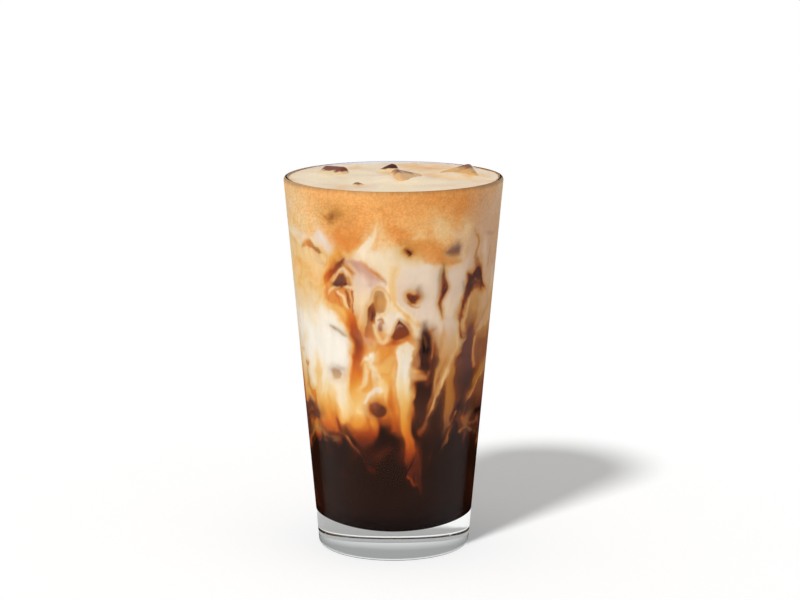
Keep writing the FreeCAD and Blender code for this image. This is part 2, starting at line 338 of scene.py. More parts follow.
@dataclass(frozen=True)
class Window(Brush):
    """A flat side of ice against the wall, or any patch with corners.

    Args:
        tints: its colours from top to bottom.
        corners: places of bearing in degrees and height in millimetres, in order round it.
        soft: width of its blurred edge in millimetres.
        round_by: how far its corners are rounded, in millimetres.
        strength: 1 hides what is under it.
        foamy: 1 where it is full of fine bubbles, 0 where it is liquid.
        calm: False for a patch of liquid, whose outline the swirls bend.
    """

    tints: tuple[Tint, ...]
    corners: tuple[Place, ...]
    soft: float = 0.9
    round_by: float = 0.6
    strength: float = 1.0
    foamy: float = 0.0
    calm: bool = True

    def moved(self, turn: float, lift: float) -> "Window":
        """The same patch, turned round the wall by degrees and lifted by millimetres."""
        return replace(self, corners=tuple((b + turn, h + lift) for b, h in self.corners))

    def gap(self, wall: Wall) -> tuple[np.ndarray, np.ndarray, np.ndarray]:
        """Finds how far points lie from the patch, as for a streak, with along going down."""
        spots = np.array(self.corners, float)
        middle, level = spots.mean(0)
        across, up = wall.local(middle, level)
        reach = self.haze + self.round_by + 1
        per_degree = math.radians(1) * wall.radius.mean()
        wide = np.abs(spots[:, 0] - middle).max() * per_degree * 1.2 + reach
        tall = np.abs(spots[:, 1] - level).max() + reach
        near = np.nonzero((np.abs(across) < wide) & (np.abs(up) < tall))[0]
        x, y, r = across[near], up[near], wall.radius[near]
        turns = np.radians(spots[:, 0] - middle)
        inside = np.zeros(len(near), bool)
        best = np.full(len(near), 1e9)
        for n in range(len(spots)):
            m = (n + 1) % len(spots)
            (ax, ay), (bx, by) = ends = [(turns[k] * r, spots[k, 1] - level) for k in (n, m)]
            best = np.minimum(best, off_edge(x, y, *ends)[1])
            crosses = (ay > y) != (by > y)
            rise = np.where(np.abs(by - ay) < 1e-9, 1e-9, by - ay)
            inside ^= crosses & (x < (bx - ax) * (y - ay) / rise + ax)
        gap = np.where(inside, -best, best) - self.round_by
        top, low = spots[:, 1].max() - level, spots[:, 1].min() - level
        down = np.clip((top - y) / max(top - low, 1e-6), 0, 1)
        return near, gap, down


@dataclass(frozen=True)
class Ring(Brush):
    """A thin round line, such as the edge of a melted cube or a large bubble.

    Args:
        tint: its colour.
        middle: bearing in degrees and height in millimetres.
        radii: half width and half height in millimetres.
        line: half width of the line in millimetres.
        soft: width of its blurred edge in millimetres.
        strength: 1 hides what is under it.
        lit_from: bearing of its strongest side in degrees on the wall, 90 for the top; None
            for an even ring.
        foamy: 1 where it is full of fine bubbles, 0 where it is liquid.
        calm: True, because the swirls don't bend it.
    """

    tint: Tint
    middle: Place
    radii: tuple[float, float]
    line: float = 0.35
    soft: float = 0.7
    strength: float = 0.8
    lit_from: float | None = None
    foamy: float = 0.0
    calm: bool = True

    def moved(self, turn: float, lift: float) -> "Ring":
        """The same ring, turned round the wall by degrees and lifted by millimetres."""
        return replace(self, middle=(self.middle[0] + turn, self.middle[1] + lift))

    def gap(self, wall: Wall) -> tuple[np.ndarray, np.ndarray, np.ndarray]:
        """Finds how far points lie from the ring, as for a streak. Its weak side is further."""
        across, up = wall.local(*self.middle)
        reach = max(self.radii) + self.line + self.soft
        near = np.nonzero((np.abs(across) < reach) & (np.abs(up) < reach))[0]
        x, y = across[near], up[near]
        share = np.hypot(x / self.radii[0], y / self.radii[1])
        gap = np.abs(share - 1) * min(self.radii) - self.line
        if self.lit_from is not None:
            side = np.cos(np.arctan2(y, x) - math.radians(self.lit_from))
            gap = gap + self.soft * (1 - smooth(0.5 + 0.8 * side))
        return near, gap, np.zeros(len(near))

    @property
    def haze(self) -> float:
        """How far it reaches beyond its line: a ring has no glow round it."""
        return self.soft

    @property
    def glow(self) -> float:
        """Strength of its glow: none."""
        return 0.0

    @property
    def tints(self) -> tuple[Tint, ...]:
        """Its one colour, as the other strokes give theirs."""
        return (self.tint,)


Stroke = Streak | Window | Ring
T = Tint


# The crema: grainy foam from the rim down to an uneven foot.
CREMA_STROKES: tuple[Stroke, ...] = (
    # these two are partly the crema's own paler tone and partly painted light: it is laid paler on the
    # left, with a painted pinkish haze of reflection at the edge of the glass
    Streak((T.CREMA_PALE,), ((-182, 147, 8), (-165, 146, 8), (-148, 145, 5)), 16, 0.8, 1),
    Streak((T.BLUSH,), ((-196, 140, 6), (-172, 141, 5), (-160, 143, 3)), 12, 0.5, 1),
    Streak((T.CREMA_PALE,), ((-178, 134, 4), (-160, 136, 4), (-146, 138, 3), (-134, 139, 2)), 7, 0.8, 1),
    Streak((T.CREMA_DARK,), ((-126, 134, 2.5), (-118, 133, 5), (-111, 131.5, 4)), 6, 0.8, 1),
    Streak((T.ORANGE,), ((-122, 135, 0.6), (-117, 132, 1.4), (-113, 129, 0.8)), 5, 0.35, 1),
    Streak((T.CREMA_DARK,), ((-92, 138, 2.5), (-85, 134, 4), (-76, 130, 4.6), (-67, 127.6, 4.6),
        (-58, 125, 3)), 6, 0.8, 1),
    Streak((T.ORANGE,), ((-72, 133, 0.8), (-68, 132.6, 1.2), (-64, 132, 0.6)), 5, 0.4, 1),
    Streak((T.CREMA_DARK,), ((-86, 148.6, 3), (-70, 148, 4), (-54, 148.6, 3)), 8, 0.5, 1),
    # partly the crema's own tone and partly painted shade: it is laid darker and dustier towards the right,
    # away from the lamp, with a painted pink haze of reflection at the edge of the glass
    Streak((T.CREMA_DARK, T.DUSTY, T.PINK), ((-50, 145, 6), (-30, 143, 9), (-8, 141, 10)), 14, 0.8, 0.9),
    Streak((T.OLIVE,), ((-127, 141.6, 0.6), (-123, 142.6, 1.6), (-118.6, 143, 0.8)), 5, 0.72, 1),
    Streak((T.UMBER,), ((-129, 142, 0.15), (-127, 140.6, 0.3), (-124.6, 141.8, 0.3)), 1.4, 0.5, 1),
    Streak((T.UMBER,), ((-127.6, 139.4, 0.15), (-125, 139.8, 0.2)), 1.2, 0.4, 1),
    Streak((T.CREMA_PALE,), ((-79, 134, 1), (-76, 136, 1.6), (-73, 134, 1.4)), 3.4, 0.75, 0.4),
    Streak((T.CREMA_PALE,), ((-69, 140, 1.2), (-65, 137, 2.6), (-61, 133.6, 1.6)), 4, 0.75, 0.6),
    Streak((T.CREMA_PALE, T.PINK), ((-60, 136, 1.6), (-53, 134.6, 2.6), (-46, 133, 3)), 5, 0.8, 0.5),
)

# Cream that has come up into the crema, and the milk of the upper part of the wall.
UPPER_MILK: tuple[Stroke, ...] = (
    Window((T.CREMA_PALE, T.CREMA_PALE, T.PEACH), ((-196, 132), (-150, 127), (-132, 127), (-134, 119),
        (-138, 110), (-142, 103), (-196, 102)), 7, 1, 0.92, 0.25, False),
    Streak((T.CREMA, T.HONEY), ((-165, 118, 1.2), (-157, 121, 2), (-147, 119, 1.6)), 5, 0.7, 0.3),
    Streak((T.HONEY, T.CREMA), ((-157, 114, 1), (-149, 116.6, 2), (-140, 115, 1.4)), 4.4, 0.75, 0.3),
    Streak((T.AMBER, T.HONEY), ((-151, 112.6, 0.6), (-145, 112, 1.2), (-139, 110.6, 0.9)), 4, 0.6, 0.2),
    Streak((T.HONEY,), ((-168, 109.6, 0.6), (-160, 111.4, 1.2), (-152, 108, 0.8)), 4, 0.55, 0.2),
    # painted reflection: a pale lilac haze at the edge of the glass
    Streak((T.LILAC,), ((-178, 124, 2), (-177, 112, 3), (-174, 101, 2)), 9, 0.6),
    Streak((T.CARAMEL,), ((-170, 129, 0.4), (-162, 128.4, 0.8), (-154, 127, 0.6)), 4, 0.4),
    Streak((T.BLUSH, T.CREAM, T.BLUSH), ((-176, 132, 1.2), (-168, 132.6, 1.8), (-161, 131.6, 1.4),
        (-154, 129.6, 1), (-149, 128.6, 0.6)), 2.6, 0.9),
    Streak((T.CREAM, T.BLUSH), ((-160, 133.6, 1.4), (-153, 133, 2), (-147, 131.6, 1.6)), 2.4, 0.8, 0.2),
    Streak((T.BLUSH, T.PINK), ((-138, 132.6, 1.5), (-134, 132, 2.8), (-129.6, 130.6, 3),
        (-126.4, 128.6, 1.6)), 2.4, 0.95),
    Streak((T.LILAC,), ((-134.6, 134, 0.6), (-131.6, 131.6, 0.9)), 2, 0.5),
    Streak((T.HONEY, T.BUTTER, T.HONEY), ((-160, 136.4, 0.3), (-155, 137, 0.45), (-150, 134.4, 0.4),
        (-147, 136, 0.4), (-143, 137, 0.4), (-138, 135, 0.3)), 1.8, 0.75, 0.5),
    Streak((T.BUTTER,), ((-148, 132.6, 0.3), (-144, 134.6, 0.5), (-140, 134, 0.4)), 1.6, 0.6, 0.4),
    Streak((T.CREMA_PALE, T.TAN), ((-143, 124.6, 1), (-138, 123.6, 2), (-134, 122.6, 1.2)), 2.4, 0.8),
    Streak((T.CARAMEL, T.CREMA_DARK, T.TOFFEE, T.OLIVE, T.TOFFEE), ((-150.6, 126, 0.3), (-146.6, 128, 0.8),
        (-143.4, 128.8, 0.9), (-139.6, 127, 0.6), (-135.6, 126.6, 0.5), (-132, 127, 0.5),
        (-130, 125.6, 0.3)), 1.6, 0.9),
    Streak((T.TOFFEE,), ((-130.2, 125.4, 0.25), (-131.6, 122.6, 0.3), (-134.6, 120, 0.15)), 1.4, 0.6),
    Streak((T.CREMA_PALE, T.CREAM, T.CREAM), ((-98.6, 139.6, 0.4), (-100.4, 135, 1.4), (-103.4, 131, 2.2),
        (-106.4, 128, 2.2)), 1.8, 0.95),
    Streak((T.CREMA_PALE, T.CREAM, T.PEACH, T.CREAM, T.PEACH), ((-97, 138, 0.5), (-95.6, 133, 1.2),
        (-94.6, 127, 2.2), (-93.4, 120, 2.6), (-91.8, 112, 2.2), (-91, 104, 1.7)), 2.4, 0.95),
    Streak((T.CREMA, T.CREMA_PALE), ((-95, 134.4, 1), (-95, 130, 1.9), (-94, 126.6, 0.9)), 3, 0.75, 1),
    Streak((T.CREAM,), ((-104, 127.4, 2), (-98, 127, 2.4), (-94, 124, 2)), 3, 0.7),
    Window((T.BLUSH, T.PINK, T.BLUSH, T.PINK), ((-84, 121), (-79, 122.8), (-68, 122), (-58, 122),
        (-49, 123), (-42, 121), (-43.4, 113), (-46.4, 105), (-48, 97), (-54, 90), (-58, 93), (-63, 97),
        (-68, 99.4), (-75, 101.6), (-81.6, 105.6), (-86, 111)), 2, 1.4, 0.96, 0, False),
    Streak((T.CREMA_PALE, T.TAN, T.PINK), ((-46, 136, 2.4), (-43.4, 129, 4.4), (-40.6, 122, 3.6)), 3.4, 0.9,
        0.3),
    Streak((T.TAN,), ((-37.6, 121.6, 0.8), (-39.6, 118.4, 1.2), (-42, 117.6, 0.8)), 1.6, 0.8),
    Streak((T.HONEY, T.HONEY, T.AMBER, T.HONEY), ((-88.6, 122, 0.8), (-89.2, 113, 1), (-87.4, 106.6, 0.9),
        (-83, 102.6, 0.8), (-77.4, 100.4, 0.6), (-72, 99, 0.4)), 2.6, 0.65),
    Streak((T.CREMA_DARK, T.SIENNA), ((-64, 125.6, 1.2), (-57, 123.8, 1.9), (-52.6, 123.6, 1)), 2.8, 0.85,
        1),
    Streak((T.CREAM,), ((-82, 117, 1.2), (-70, 118, 2.4), (-66, 112, 2)), 5, 0.5),
    Streak((T.PEACH,), ((-56, 106, 2), (-54, 100, 2.4), (-54.6, 95, 1.4)), 4, 0.6),
)

# The bright milk low on the left, and the fire where it runs out over the coffee.
LOWER_LEFT: tuple[Stroke, ...] = (
    Window((T.MILK,), ((-200, 106), (-160, 104), (-146, 106), (-136, 103.6), (-126, 103), (-119, 98),
        (-116.6, 92), (-116.8, 86), (-119, 79), (-119.8, 72), (-140, 71), (-156, 74), (-200, 74)), 4, 1, 1,
        0, False),
    Streak((T.BUTTER, T.HONEY), ((-125.6, 104, 0.4), (-120, 99, 0.5), (-116.8, 93, 0.5), (-117.2, 86, 0.5)),
        2.6, 0.6),
    Streak((T.BUTTER,), ((-172, 103, 0.8), (-158, 104.6, 1.2), (-148, 100, 0.8), (-143, 96, 0.5)), 5, 0.5),
    Streak((T.BUTTER,), ((-158, 92, 0.6), (-160, 89.6, 0.8)), 3.4, 0.6),
    # painted reflection: a pale lilac haze at the edge of the glass
    Streak((T.LILAC,), ((-172, 98, 1), (-172, 92, 2), (-166, 87.6, 1)), 6, 0.5),
    Streak((T.ROSE, T.PEACH), ((-168, 85, 0.2), (-165, 84.4, 0.5), (-162, 84.6, 0.2)), 2, 0.65),
    Window((T.CREAM, T.BUTTER, T.HONEY), ((-200, 77), (-158, 78), (-146, 76), (-134, 73), (-120, 74),
        (-117, 66), (-120, 58), (-200, 58)), 6, 1, 0.9, 0, False),
    Streak((T.BUTTER, T.HONEY, T.BUTTER), ((-146.6, 83, 0.8), (-145, 79, 1.8), (-145.4, 72, 2.2),
        (-146.6, 66, 1.4)), 3, 0.75),
    Streak((T.MILK, T.CREAM), ((-141, 77, 0.5), (-142, 71, 0.7), (-143, 66, 0.3)), 1.8, 0.85),
    Streak((T.CREAM,), ((-153, 80, 1.4), (-153.6, 74, 1.6)), 3, 0.7),
    Streak((T.TAN, T.CARAMEL, T.ORANGE), ((-161.6, 78.4, 0.3), (-159.8, 74, 0.7), (-159, 69.6, 0.9),
        (-156, 67, 1)), 2.4, 0.8),
    Streak((T.TOFFEE,), ((-162, 78, 0.15), (-159, 78.4, 0.35), (-157.6, 79, 0.15)), 1.4, 0.65),
    Streak((T.AMBER, T.ORANGE, T.RUST), ((-157, 68, 0.8), (-153, 66.4, 1.8), (-151, 62.4, 1.5),
        (-150, 58, 0.8)), 2.6, 0.92),
    Streak((T.AMBER, T.ORANGE), ((-166, 64.6, 0.3), (-161, 64, 0.7)), 2.4, 0.7),
    Streak((T.HONEY, T.AMBER, T.ORANGE), ((-147.6, 66, 0.8), (-145, 60, 1.6), (-145.4, 55, 1.2)), 2.6, 0.9),
    Streak((T.BUTTER, T.HONEY, T.AMBER, T.ORANGE, T.RUST), ((-139.6, 70, 1.2), (-138, 65, 3),
        (-137.6, 60, 3.6), (-139.6, 55.6, 2.6), (-141.6, 52.6, 0.8)), 3, 0.95),
    Streak((T.HONEY, T.AMBER, T.ORANGE, T.RUST), ((-131.6, 68, 1), (-132, 63, 2), (-132, 58, 2.6),
        (-131, 54, 1.6)), 3, 0.9),
    Streak((T.RUST, T.EMBER), ((-133, 60, 0.5), (-130, 57, 1.3), (-127.4, 54.6, 0.9)), 2.2, 0.85),
    Streak((T.EMBER, T.EMBER), ((-136, 51.6, 1), (-130.6, 51.4, 1.5), (-126.6, 51.6, 0.8)), 2.4, 0.85),
    Streak((T.CREAM, T.CREAM, T.BUTTER, T.HONEY), ((-125.4, 72.6, 2.6), (-124, 67, 3.2), (-121, 62.6, 2.8),
        (-118.6, 59, 1.4)), 3, 0.9),
    Streak((T.HONEY, T.BUTTER, T.HONEY), ((-118.6, 68, 0.8), (-119, 63, 1), (-120, 59, 0.6)), 2.4, 0.6),
    Streak((T.HONEY, T.AMBER, T.RUST), ((-114, 62, 2), (-112, 57, 2.8), (-109, 53, 1.8)), 3.4, 0.92),
    Streak((T.HONEY, T.AMBER), ((-125.6, 59.6, 0.3), (-121, 57, 0.6), (-117, 54.8, 0.4)), 2, 0.75),
    Streak((T.RUST, T.EMBER), ((-115.4, 53, 0.8), (-112.6, 50.6, 1.2), (-107.6, 50, 0.8)), 2.6, 0.8),
    Streak((T.ORANGE, T.RUST, T.EMBER), ((-107, 60, 0.8), (-105.4, 54.6, 1.2), (-106, 49, 0.8)), 3, 0.75),
    Window((T.PLUM, T.BARK, T.PLUM), ((-200, 61), (-166, 62), (-160, 63.4), (-152, 61.6), (-148, 59),
        (-148.4, 55.6), (-158, 54), (-168, 51), (-200, 50)), 2.4, 1, 0.92, 0, False),
    Streak((T.DUSK, T.UMBRA), ((-180, 58.6, 0.4), (-168, 57.8, 0.4), (-158, 58.8, 0.3), (-151, 57.8, 0.2)),
        1.8, 0.55),
    Streak((T.UMBRA,), ((-176, 54.4, 0.3), (-164, 54.6, 0.4), (-154, 56, 0.3)), 1.8, 0.5),
    Streak((T.ORANGE, T.RUST), ((-162, 52.4, 0.3), (-154, 54, 0.7), (-148, 54.6, 0.8), (-143, 53.6, 0.6)),
        2, 0.8),
)

# Veils of milk still sinking into the coffee, and the glow in the coffee itself.
COFFEE_STROKES: tuple[Stroke, ...] = (
    Streak((T.CARAMEL, T.TOFFEE, T.OLIVE, T.OLIVE, T.UMBER), ((-182, 43.6, 1), (-172, 45.8, 1.1),
        (-164, 48.4, 0.9), (-155, 50.4, 0.7), (-146, 51.4, 0.6), (-138, 50.6, 0.45), (-131, 50.4, 0.25)),
        2.4, 0.85),
    Streak((T.TOFFEE, T.UMBER), ((-170, 49, 0.3), (-160, 51.6, 0.5), (-150, 53, 0.4), (-142, 52.4, 0.3)),
        1.8, 0.6),
    Streak((T.UMBER,), ((-178, 42, 0.2), (-164, 45.4, 0.3), (-152, 48, 0.2), (-140, 48.6, 0.15)), 1.6, 0.5),
    Streak((T.OLIVE, T.UMBER), ((-149, 51.4, 0.15), (-142.6, 52, 0.25), (-137.4, 49.4, 0.25),
        (-131, 49.8, 0.15)), 1, 0.6),
    Streak((T.HONEY, T.CARAMEL, T.TOFFEE, T.EMBER, T.EMBER), ((-125.6, 53.4, 0.3), (-122.6, 51.6, 0.5),
        (-119.6, 48.6, 0.35), (-113.6, 44.6, 0.3), (-108.6, 41.6, 0.25), (-103, 38, 0.15)), 1.5, 0.8),
    Streak((T.EMBER,), ((-121, 48, 0.6), (-117, 44.6, 0.6), (-120, 41, 0.3)), 2.4, 0.5),
    Streak((T.EMBER,), ((-110, 46.4, 1), (-102, 45.4, 1.6), (-94, 46, 1)), 4, 0.5),
    Streak((T.EMBER,), ((-101, 43.6, 0.2), (-97.6, 45.8, 0.4), (-93, 45.8, 0.2)), 1.4, 0.6),
    Streak((T.EMBER,), ((-182, 28, 3), (-170, 20, 4), (-158, 15, 2)), 12, 0.45),
    Streak((T.RUST, T.EMBER, T.EMBER, T.EMBER), ((-75, 49, 0.8), (-74.6, 45, 1.5), (-75.8, 40.6, 1.6),
        (-78, 36.8, 0.9)), 1.8, 0.95),
    Streak((T.EMBER,), ((-70.6, 45, 0.8), (-72, 40, 1.2), (-72.6, 34.6, 1), (-70, 31, 0.3)), 2.2, 0.75),
    Streak((T.ORANGE, T.RUST, T.RUST, T.EMBER, T.EMBER), ((-74.6, 49.4, 0.45), (-70.4, 51.4, 0.55),
        (-66.4, 51.6, 0.6), (-64, 49, 0.5), (-64.6, 44, 0.4), (-66, 37, 0.2)), 1.4, 0.9),
    Streak((T.BUTTER,), ((-72.6, 48.4, 0.15), (-71.8, 48.2, 0.15)), 0.5, 0.75),
    Streak((T.COFFEE,), ((-69, 47.6, 0.9), (-68.6, 44, 0.7)), 1.6, 0.7),
    Streak((T.RUST, T.EMBER), ((-79.6, 36, 0.25), (-76, 33.8, 0.3), (-72.6, 31.6, 0.25), (-69, 28.6, 0.12)),
        1, 0.85),
)

# The right of the wall: tongues of cream between dark columns.
RIGHT_STROKES: tuple[Stroke, ...] = (
    # these two are partly the drink's own tone and partly painted shade: the right of the wall, away from
    # the lamp, is laid duskier, dusty tan above and umber and bark below, with a painted haze of reflection
    # near the edge of the glass
    Window((T.DUSTY, T.DUSTY, T.TAN), ((-40, 132), (-26, 138), (-8, 135), (10, 138), (20, 120), (8, 100),
        (-12, 92), (-30, 94), (-38, 110)), 10, 3, 0.92, 0.2, False),
    Window((T.CARAMEL, T.UMBRA, T.BARK), ((-34, 90), (-22, 99), (-8, 93), (6, 84), (12, 66), (4, 54),
        (-40, 54)), 11, 4, 0.95, 0, False),
    Window((T.BARK, T.COFFEE), ((-72, 90), (-60, 86), (-44, 84), (-30, 86), (-28, 62), (-34, 48), (-60, 46),
        (-76, 48)), 4, 1, 0.95, 0, False),
    Streak((T.PINK, T.TAN), ((-27.6, 129, 1.2), (-26, 123, 1.4), (-25.6, 117.6, 1), (-24.6, 113.6, 0.6)),
        2.4, 0.8),
    Streak((T.MAUVE,), ((-30, 133, 0.3), (-24, 132.6, 0.4), (-16, 132.8, 0.3)), 1.6, 0.6),
    Streak((T.MAUVE,), ((-21, 128, 0.4), (-22.6, 122, 0.8), (-23, 116, 0.5)), 2.2, 0.6),
    Streak((T.MAUVE,), ((-18, 122, 0.8), (-14, 120, 1.2)), 4, 0.5),
    Streak((T.BLUSH,), ((-14, 117, 1.4), (-10, 112, 2)), 5, 0.6),
    Streak((T.CARAMEL, T.CREMA_DARK, T.CARAMEL, T.MAUVE), ((-40.4, 135.4, 0.2), (-38, 133, 0.5),
        (-35.4, 130, 0.8), (-35.4, 125, 1.1), (-34, 120, 1), (-31.4, 116, 0.8)), 2, 0.8),
    Streak((T.TOFFEE,), ((-37.6, 133, 0.15), (-35, 129.6, 0.3), (-36.6, 125, 0.3), (-38.6, 123.6, 0.15)), 1,
        0.65),
    Streak((T.UMBRA,), ((-34.6, 122.6, 0.6), (-33, 118.4, 1)), 2.6, 0.6),
    Window((T.MAROON, T.MAROON, T.CHESTNUT), ((-42.6, 116.4), (-38, 115.6), (-33, 117.6), (-28.6, 114.6),
        (-24, 111), (-29, 110), (-36, 109.6), (-41, 107.6), (-44.4, 104.4), (-43.4, 110)), 1.6, 0.6, 0.95,
        0, False),
    Streak((T.CARAMEL,), ((-38, 113, 0.15), (-34, 114, 0.2), (-29.6, 112, 0.15)), 0.9, 0.45),
    Streak((T.SIENNA, T.SIENNA, T.TOFFEE, T.CHESTNUT), ((-32.6, 107.6, 2.2), (-35, 104, 3.8),
        (-36.6, 99.6, 4.4), (-36, 95.6, 2.6)), 1.8, 0.95),
    Streak((T.TAN, T.DUSTY), ((-29.6, 108.6, 1.4), (-24.6, 106.6, 2.4), (-20, 103, 2.6)), 3.6, 0.8),
    Streak((T.CARAMEL,), ((-38.6, 103, 0.5), (-34, 105.6, 0.7), (-30, 104.6, 0.5)), 2.4, 0.5),
    Streak((T.MAROON, T.MAROON, T.CHESTNUT), ((-44.6, 106, 0.5), (-46, 101, 0.7), (-45.4, 97, 0.7),
        (-42.6, 93.4, 0.9), (-39.6, 91.6, 1.2)), 1.5, 0.95),
    Streak((T.UMBRA, T.MAUVE), ((-41, 94.6, 0.5), (-36, 92.4, 1), (-30, 94.6, 0.8), (-22, 97.6, 0.6)), 2.6,
        0.75),
    Streak((T.PLUM, T.PLUM, T.BARK), ((-35.6, 93, 2.8), (-35.4, 88, 3.4), (-36, 82, 3.8), (-37, 76, 4.2)),
        2.6, 0.95),
    Streak((T.PLUM, T.BARK, T.MAROON, T.COFFEE), ((-38, 80, 4), (-38.6, 73, 4.4), (-38.8, 66, 4.2),
        (-39.6, 60, 3)), 2.4, 0.85),
    Streak((T.TAN, T.DUSTY), ((-29, 93.6, 0.6), (-24, 94.6, 1.6), (-16, 96, 2.6), (-8, 97, 3)), 3.6, 0.85),
    Streak((T.TAN,), ((-29.4, 90, 0.5), (-28.6, 84, 0.8), (-28.6, 79, 0.8)), 2.2, 0.8),
    Window((T.UMBRA, T.UMBRA), ((-27, 88.4), (-8, 88), (-6, 80), (-26.6, 80.4)), 2.8, 0.8, 0.8),
    Streak((T.CARAMEL, T.CARAMEL, T.GOLD, T.GOLD, T.TOFFEE, T.CHESTNUT), ((-8, 77, 3.4), (-15, 75.6, 3.2),
        (-21.6, 72.6, 2.3), (-27.6, 68.8, 1.7), (-32.4, 65.6, 1.3), (-35, 62, 1), (-35.8, 58, 0.6)), 2.2,
        0.9),
    Streak((T.TAN,), ((-14, 73, 0.25), (-22.4, 70.4, 0.4), (-28.6, 67, 0.4), (-33.4, 63.4, 0.3)), 1.1,
        0.75),
    Streak((T.TOFFEE,), ((-20, 72.4, 0.2), (-27, 69.4, 0.25), (-32, 65.6, 0.2)), 0.9, 0.6),
    Streak((T.UMBRA,), ((-24, 66, 1), (-14, 66, 2), (-6, 64, 2)), 5, 0.6),
    Streak((T.NIGHT,), ((-19, 58.6, 0.8), (-12, 58.6, 1.2), (-6, 58.6, 1.2)), 3, 0.8),
    Streak((T.GOLD, T.TOFFEE, T.UMBER), ((-36, 57, 0.6), (-32.6, 55.6, 1.6), (-28, 57.4, 1.5),
        (-24, 59.6, 0.8)), 2.6, 0.85),
    Streak((T.TOFFEE, T.UMBRA), ((-30, 54.6, 0.6), (-22, 54.4, 1), (-12, 53.6, 0.9)), 2.4, 0.7),
    Streak((T.GOLD, T.OLIVE, T.UMBER), ((-37.4, 51, 0.3), (-33, 51.6, 0.5), (-29, 52.6, 0.4),
        (-22, 51, 0.4), (-12, 49, 0.4), (-2, 48, 0.3)), 1.5, 0.75),
    Streak((T.UMBER,), ((-34, 49.4, 0.15), (-28, 51, 0.2), (-18, 49.4, 0.2), (-8, 47, 0.15)), 1.1, 0.5),
    Streak((T.SIENNA, T.GOLD, T.GOLD, T.TOFFEE, T.UMBER), ((-49, 86, 1.6), (-48.6, 80, 2.1),
        (-48.4, 72, 2.4), (-48.6, 64, 2.3), (-49.4, 58, 1.6), (-51.4, 54, 0.7)), 2.8, 0.92),
    Streak((T.GOLD,), ((-49.8, 70, 0.6), (-49.4, 62, 0.8)), 3, 0.5),
    Streak((T.SIENNA, T.TOFFEE), ((-42, 59.8, 0.3), (-45, 58, 0.5), (-47.6, 57, 0.4)), 1.6, 0.7),
    Streak((T.SIENNA, T.TOFFEE, T.UMBER), ((-45.6, 55, 0.5), (-48, 52.6, 0.5), (-51, 49.6, 0.35),
        (-55, 46, 0.15)), 1.4, 0.8),
    Streak((T.CHESTNUT,), ((-42.6, 57, 0.8), (-39, 54.4, 1.2), (-35, 53, 0.6)), 3, 0.6),
    Streak((T.PINK, T.TAN, T.SIENNA, T.SIENNA, T.CARAMEL, T.TOFFEE, T.CHESTNUT), ((-53.6, 99, 3.6),
        (-54.6, 93, 5), (-54, 87, 5.4), (-56, 81, 4), (-58.6, 75, 3.2), (-61.4, 69.6, 2.3),
        (-64.4, 64.4, 1.4), (-66.4, 59, 0.8), (-67.6, 54, 0.4)), 1.6, 0.97),
    Streak((T.TAN, T.CREMA_PALE, T.TAN), ((-47, 88, 0.8), (-50.6, 83, 0.8), (-54, 77, 0.8),
        (-57.4, 71.6, 0.7), (-61.6, 66, 0.5), (-64.6, 61, 0.3)), 1.3, 0.85),
    Streak((T.CREMA_PALE,), ((-47, 93, 1), (-45.6, 89, 1), (-48, 85.6, 0.8)), 2, 0.6),
    Streak((T.TOFFEE, T.CHESTNUT, T.TOFFEE), ((-63, 89, 0.3), (-62.4, 84, 0.5), (-63.4, 78, 0.45),
        (-64.8, 72, 0.4)), 1.1, 0.8),
    Streak((T.TOFFEE, T.CHESTNUT), ((-58.6, 76, 0.2), (-61, 71, 0.35), (-64, 66, 0.35), (-66, 61.6, 0.25)),
        0.9, 0.8),
    Streak((T.TOFFEE,), ((-54, 85, 0.25), (-57.4, 80, 0.35), (-60, 74, 0.25)), 1.1, 0.55),
    Streak((T.SIENNA,), ((-59.4, 101, 0.3), (-57.6, 96.6, 0.4), (-58.6, 91, 0.3), (-60.6, 86, 0.4)), 1.5,
        0.7),
    Streak((T.SIENNA,), ((-50, 88, 0.3), (-54, 85.4, 0.5), (-57.6, 83.6, 0.3)), 1.6, 0.6),
)

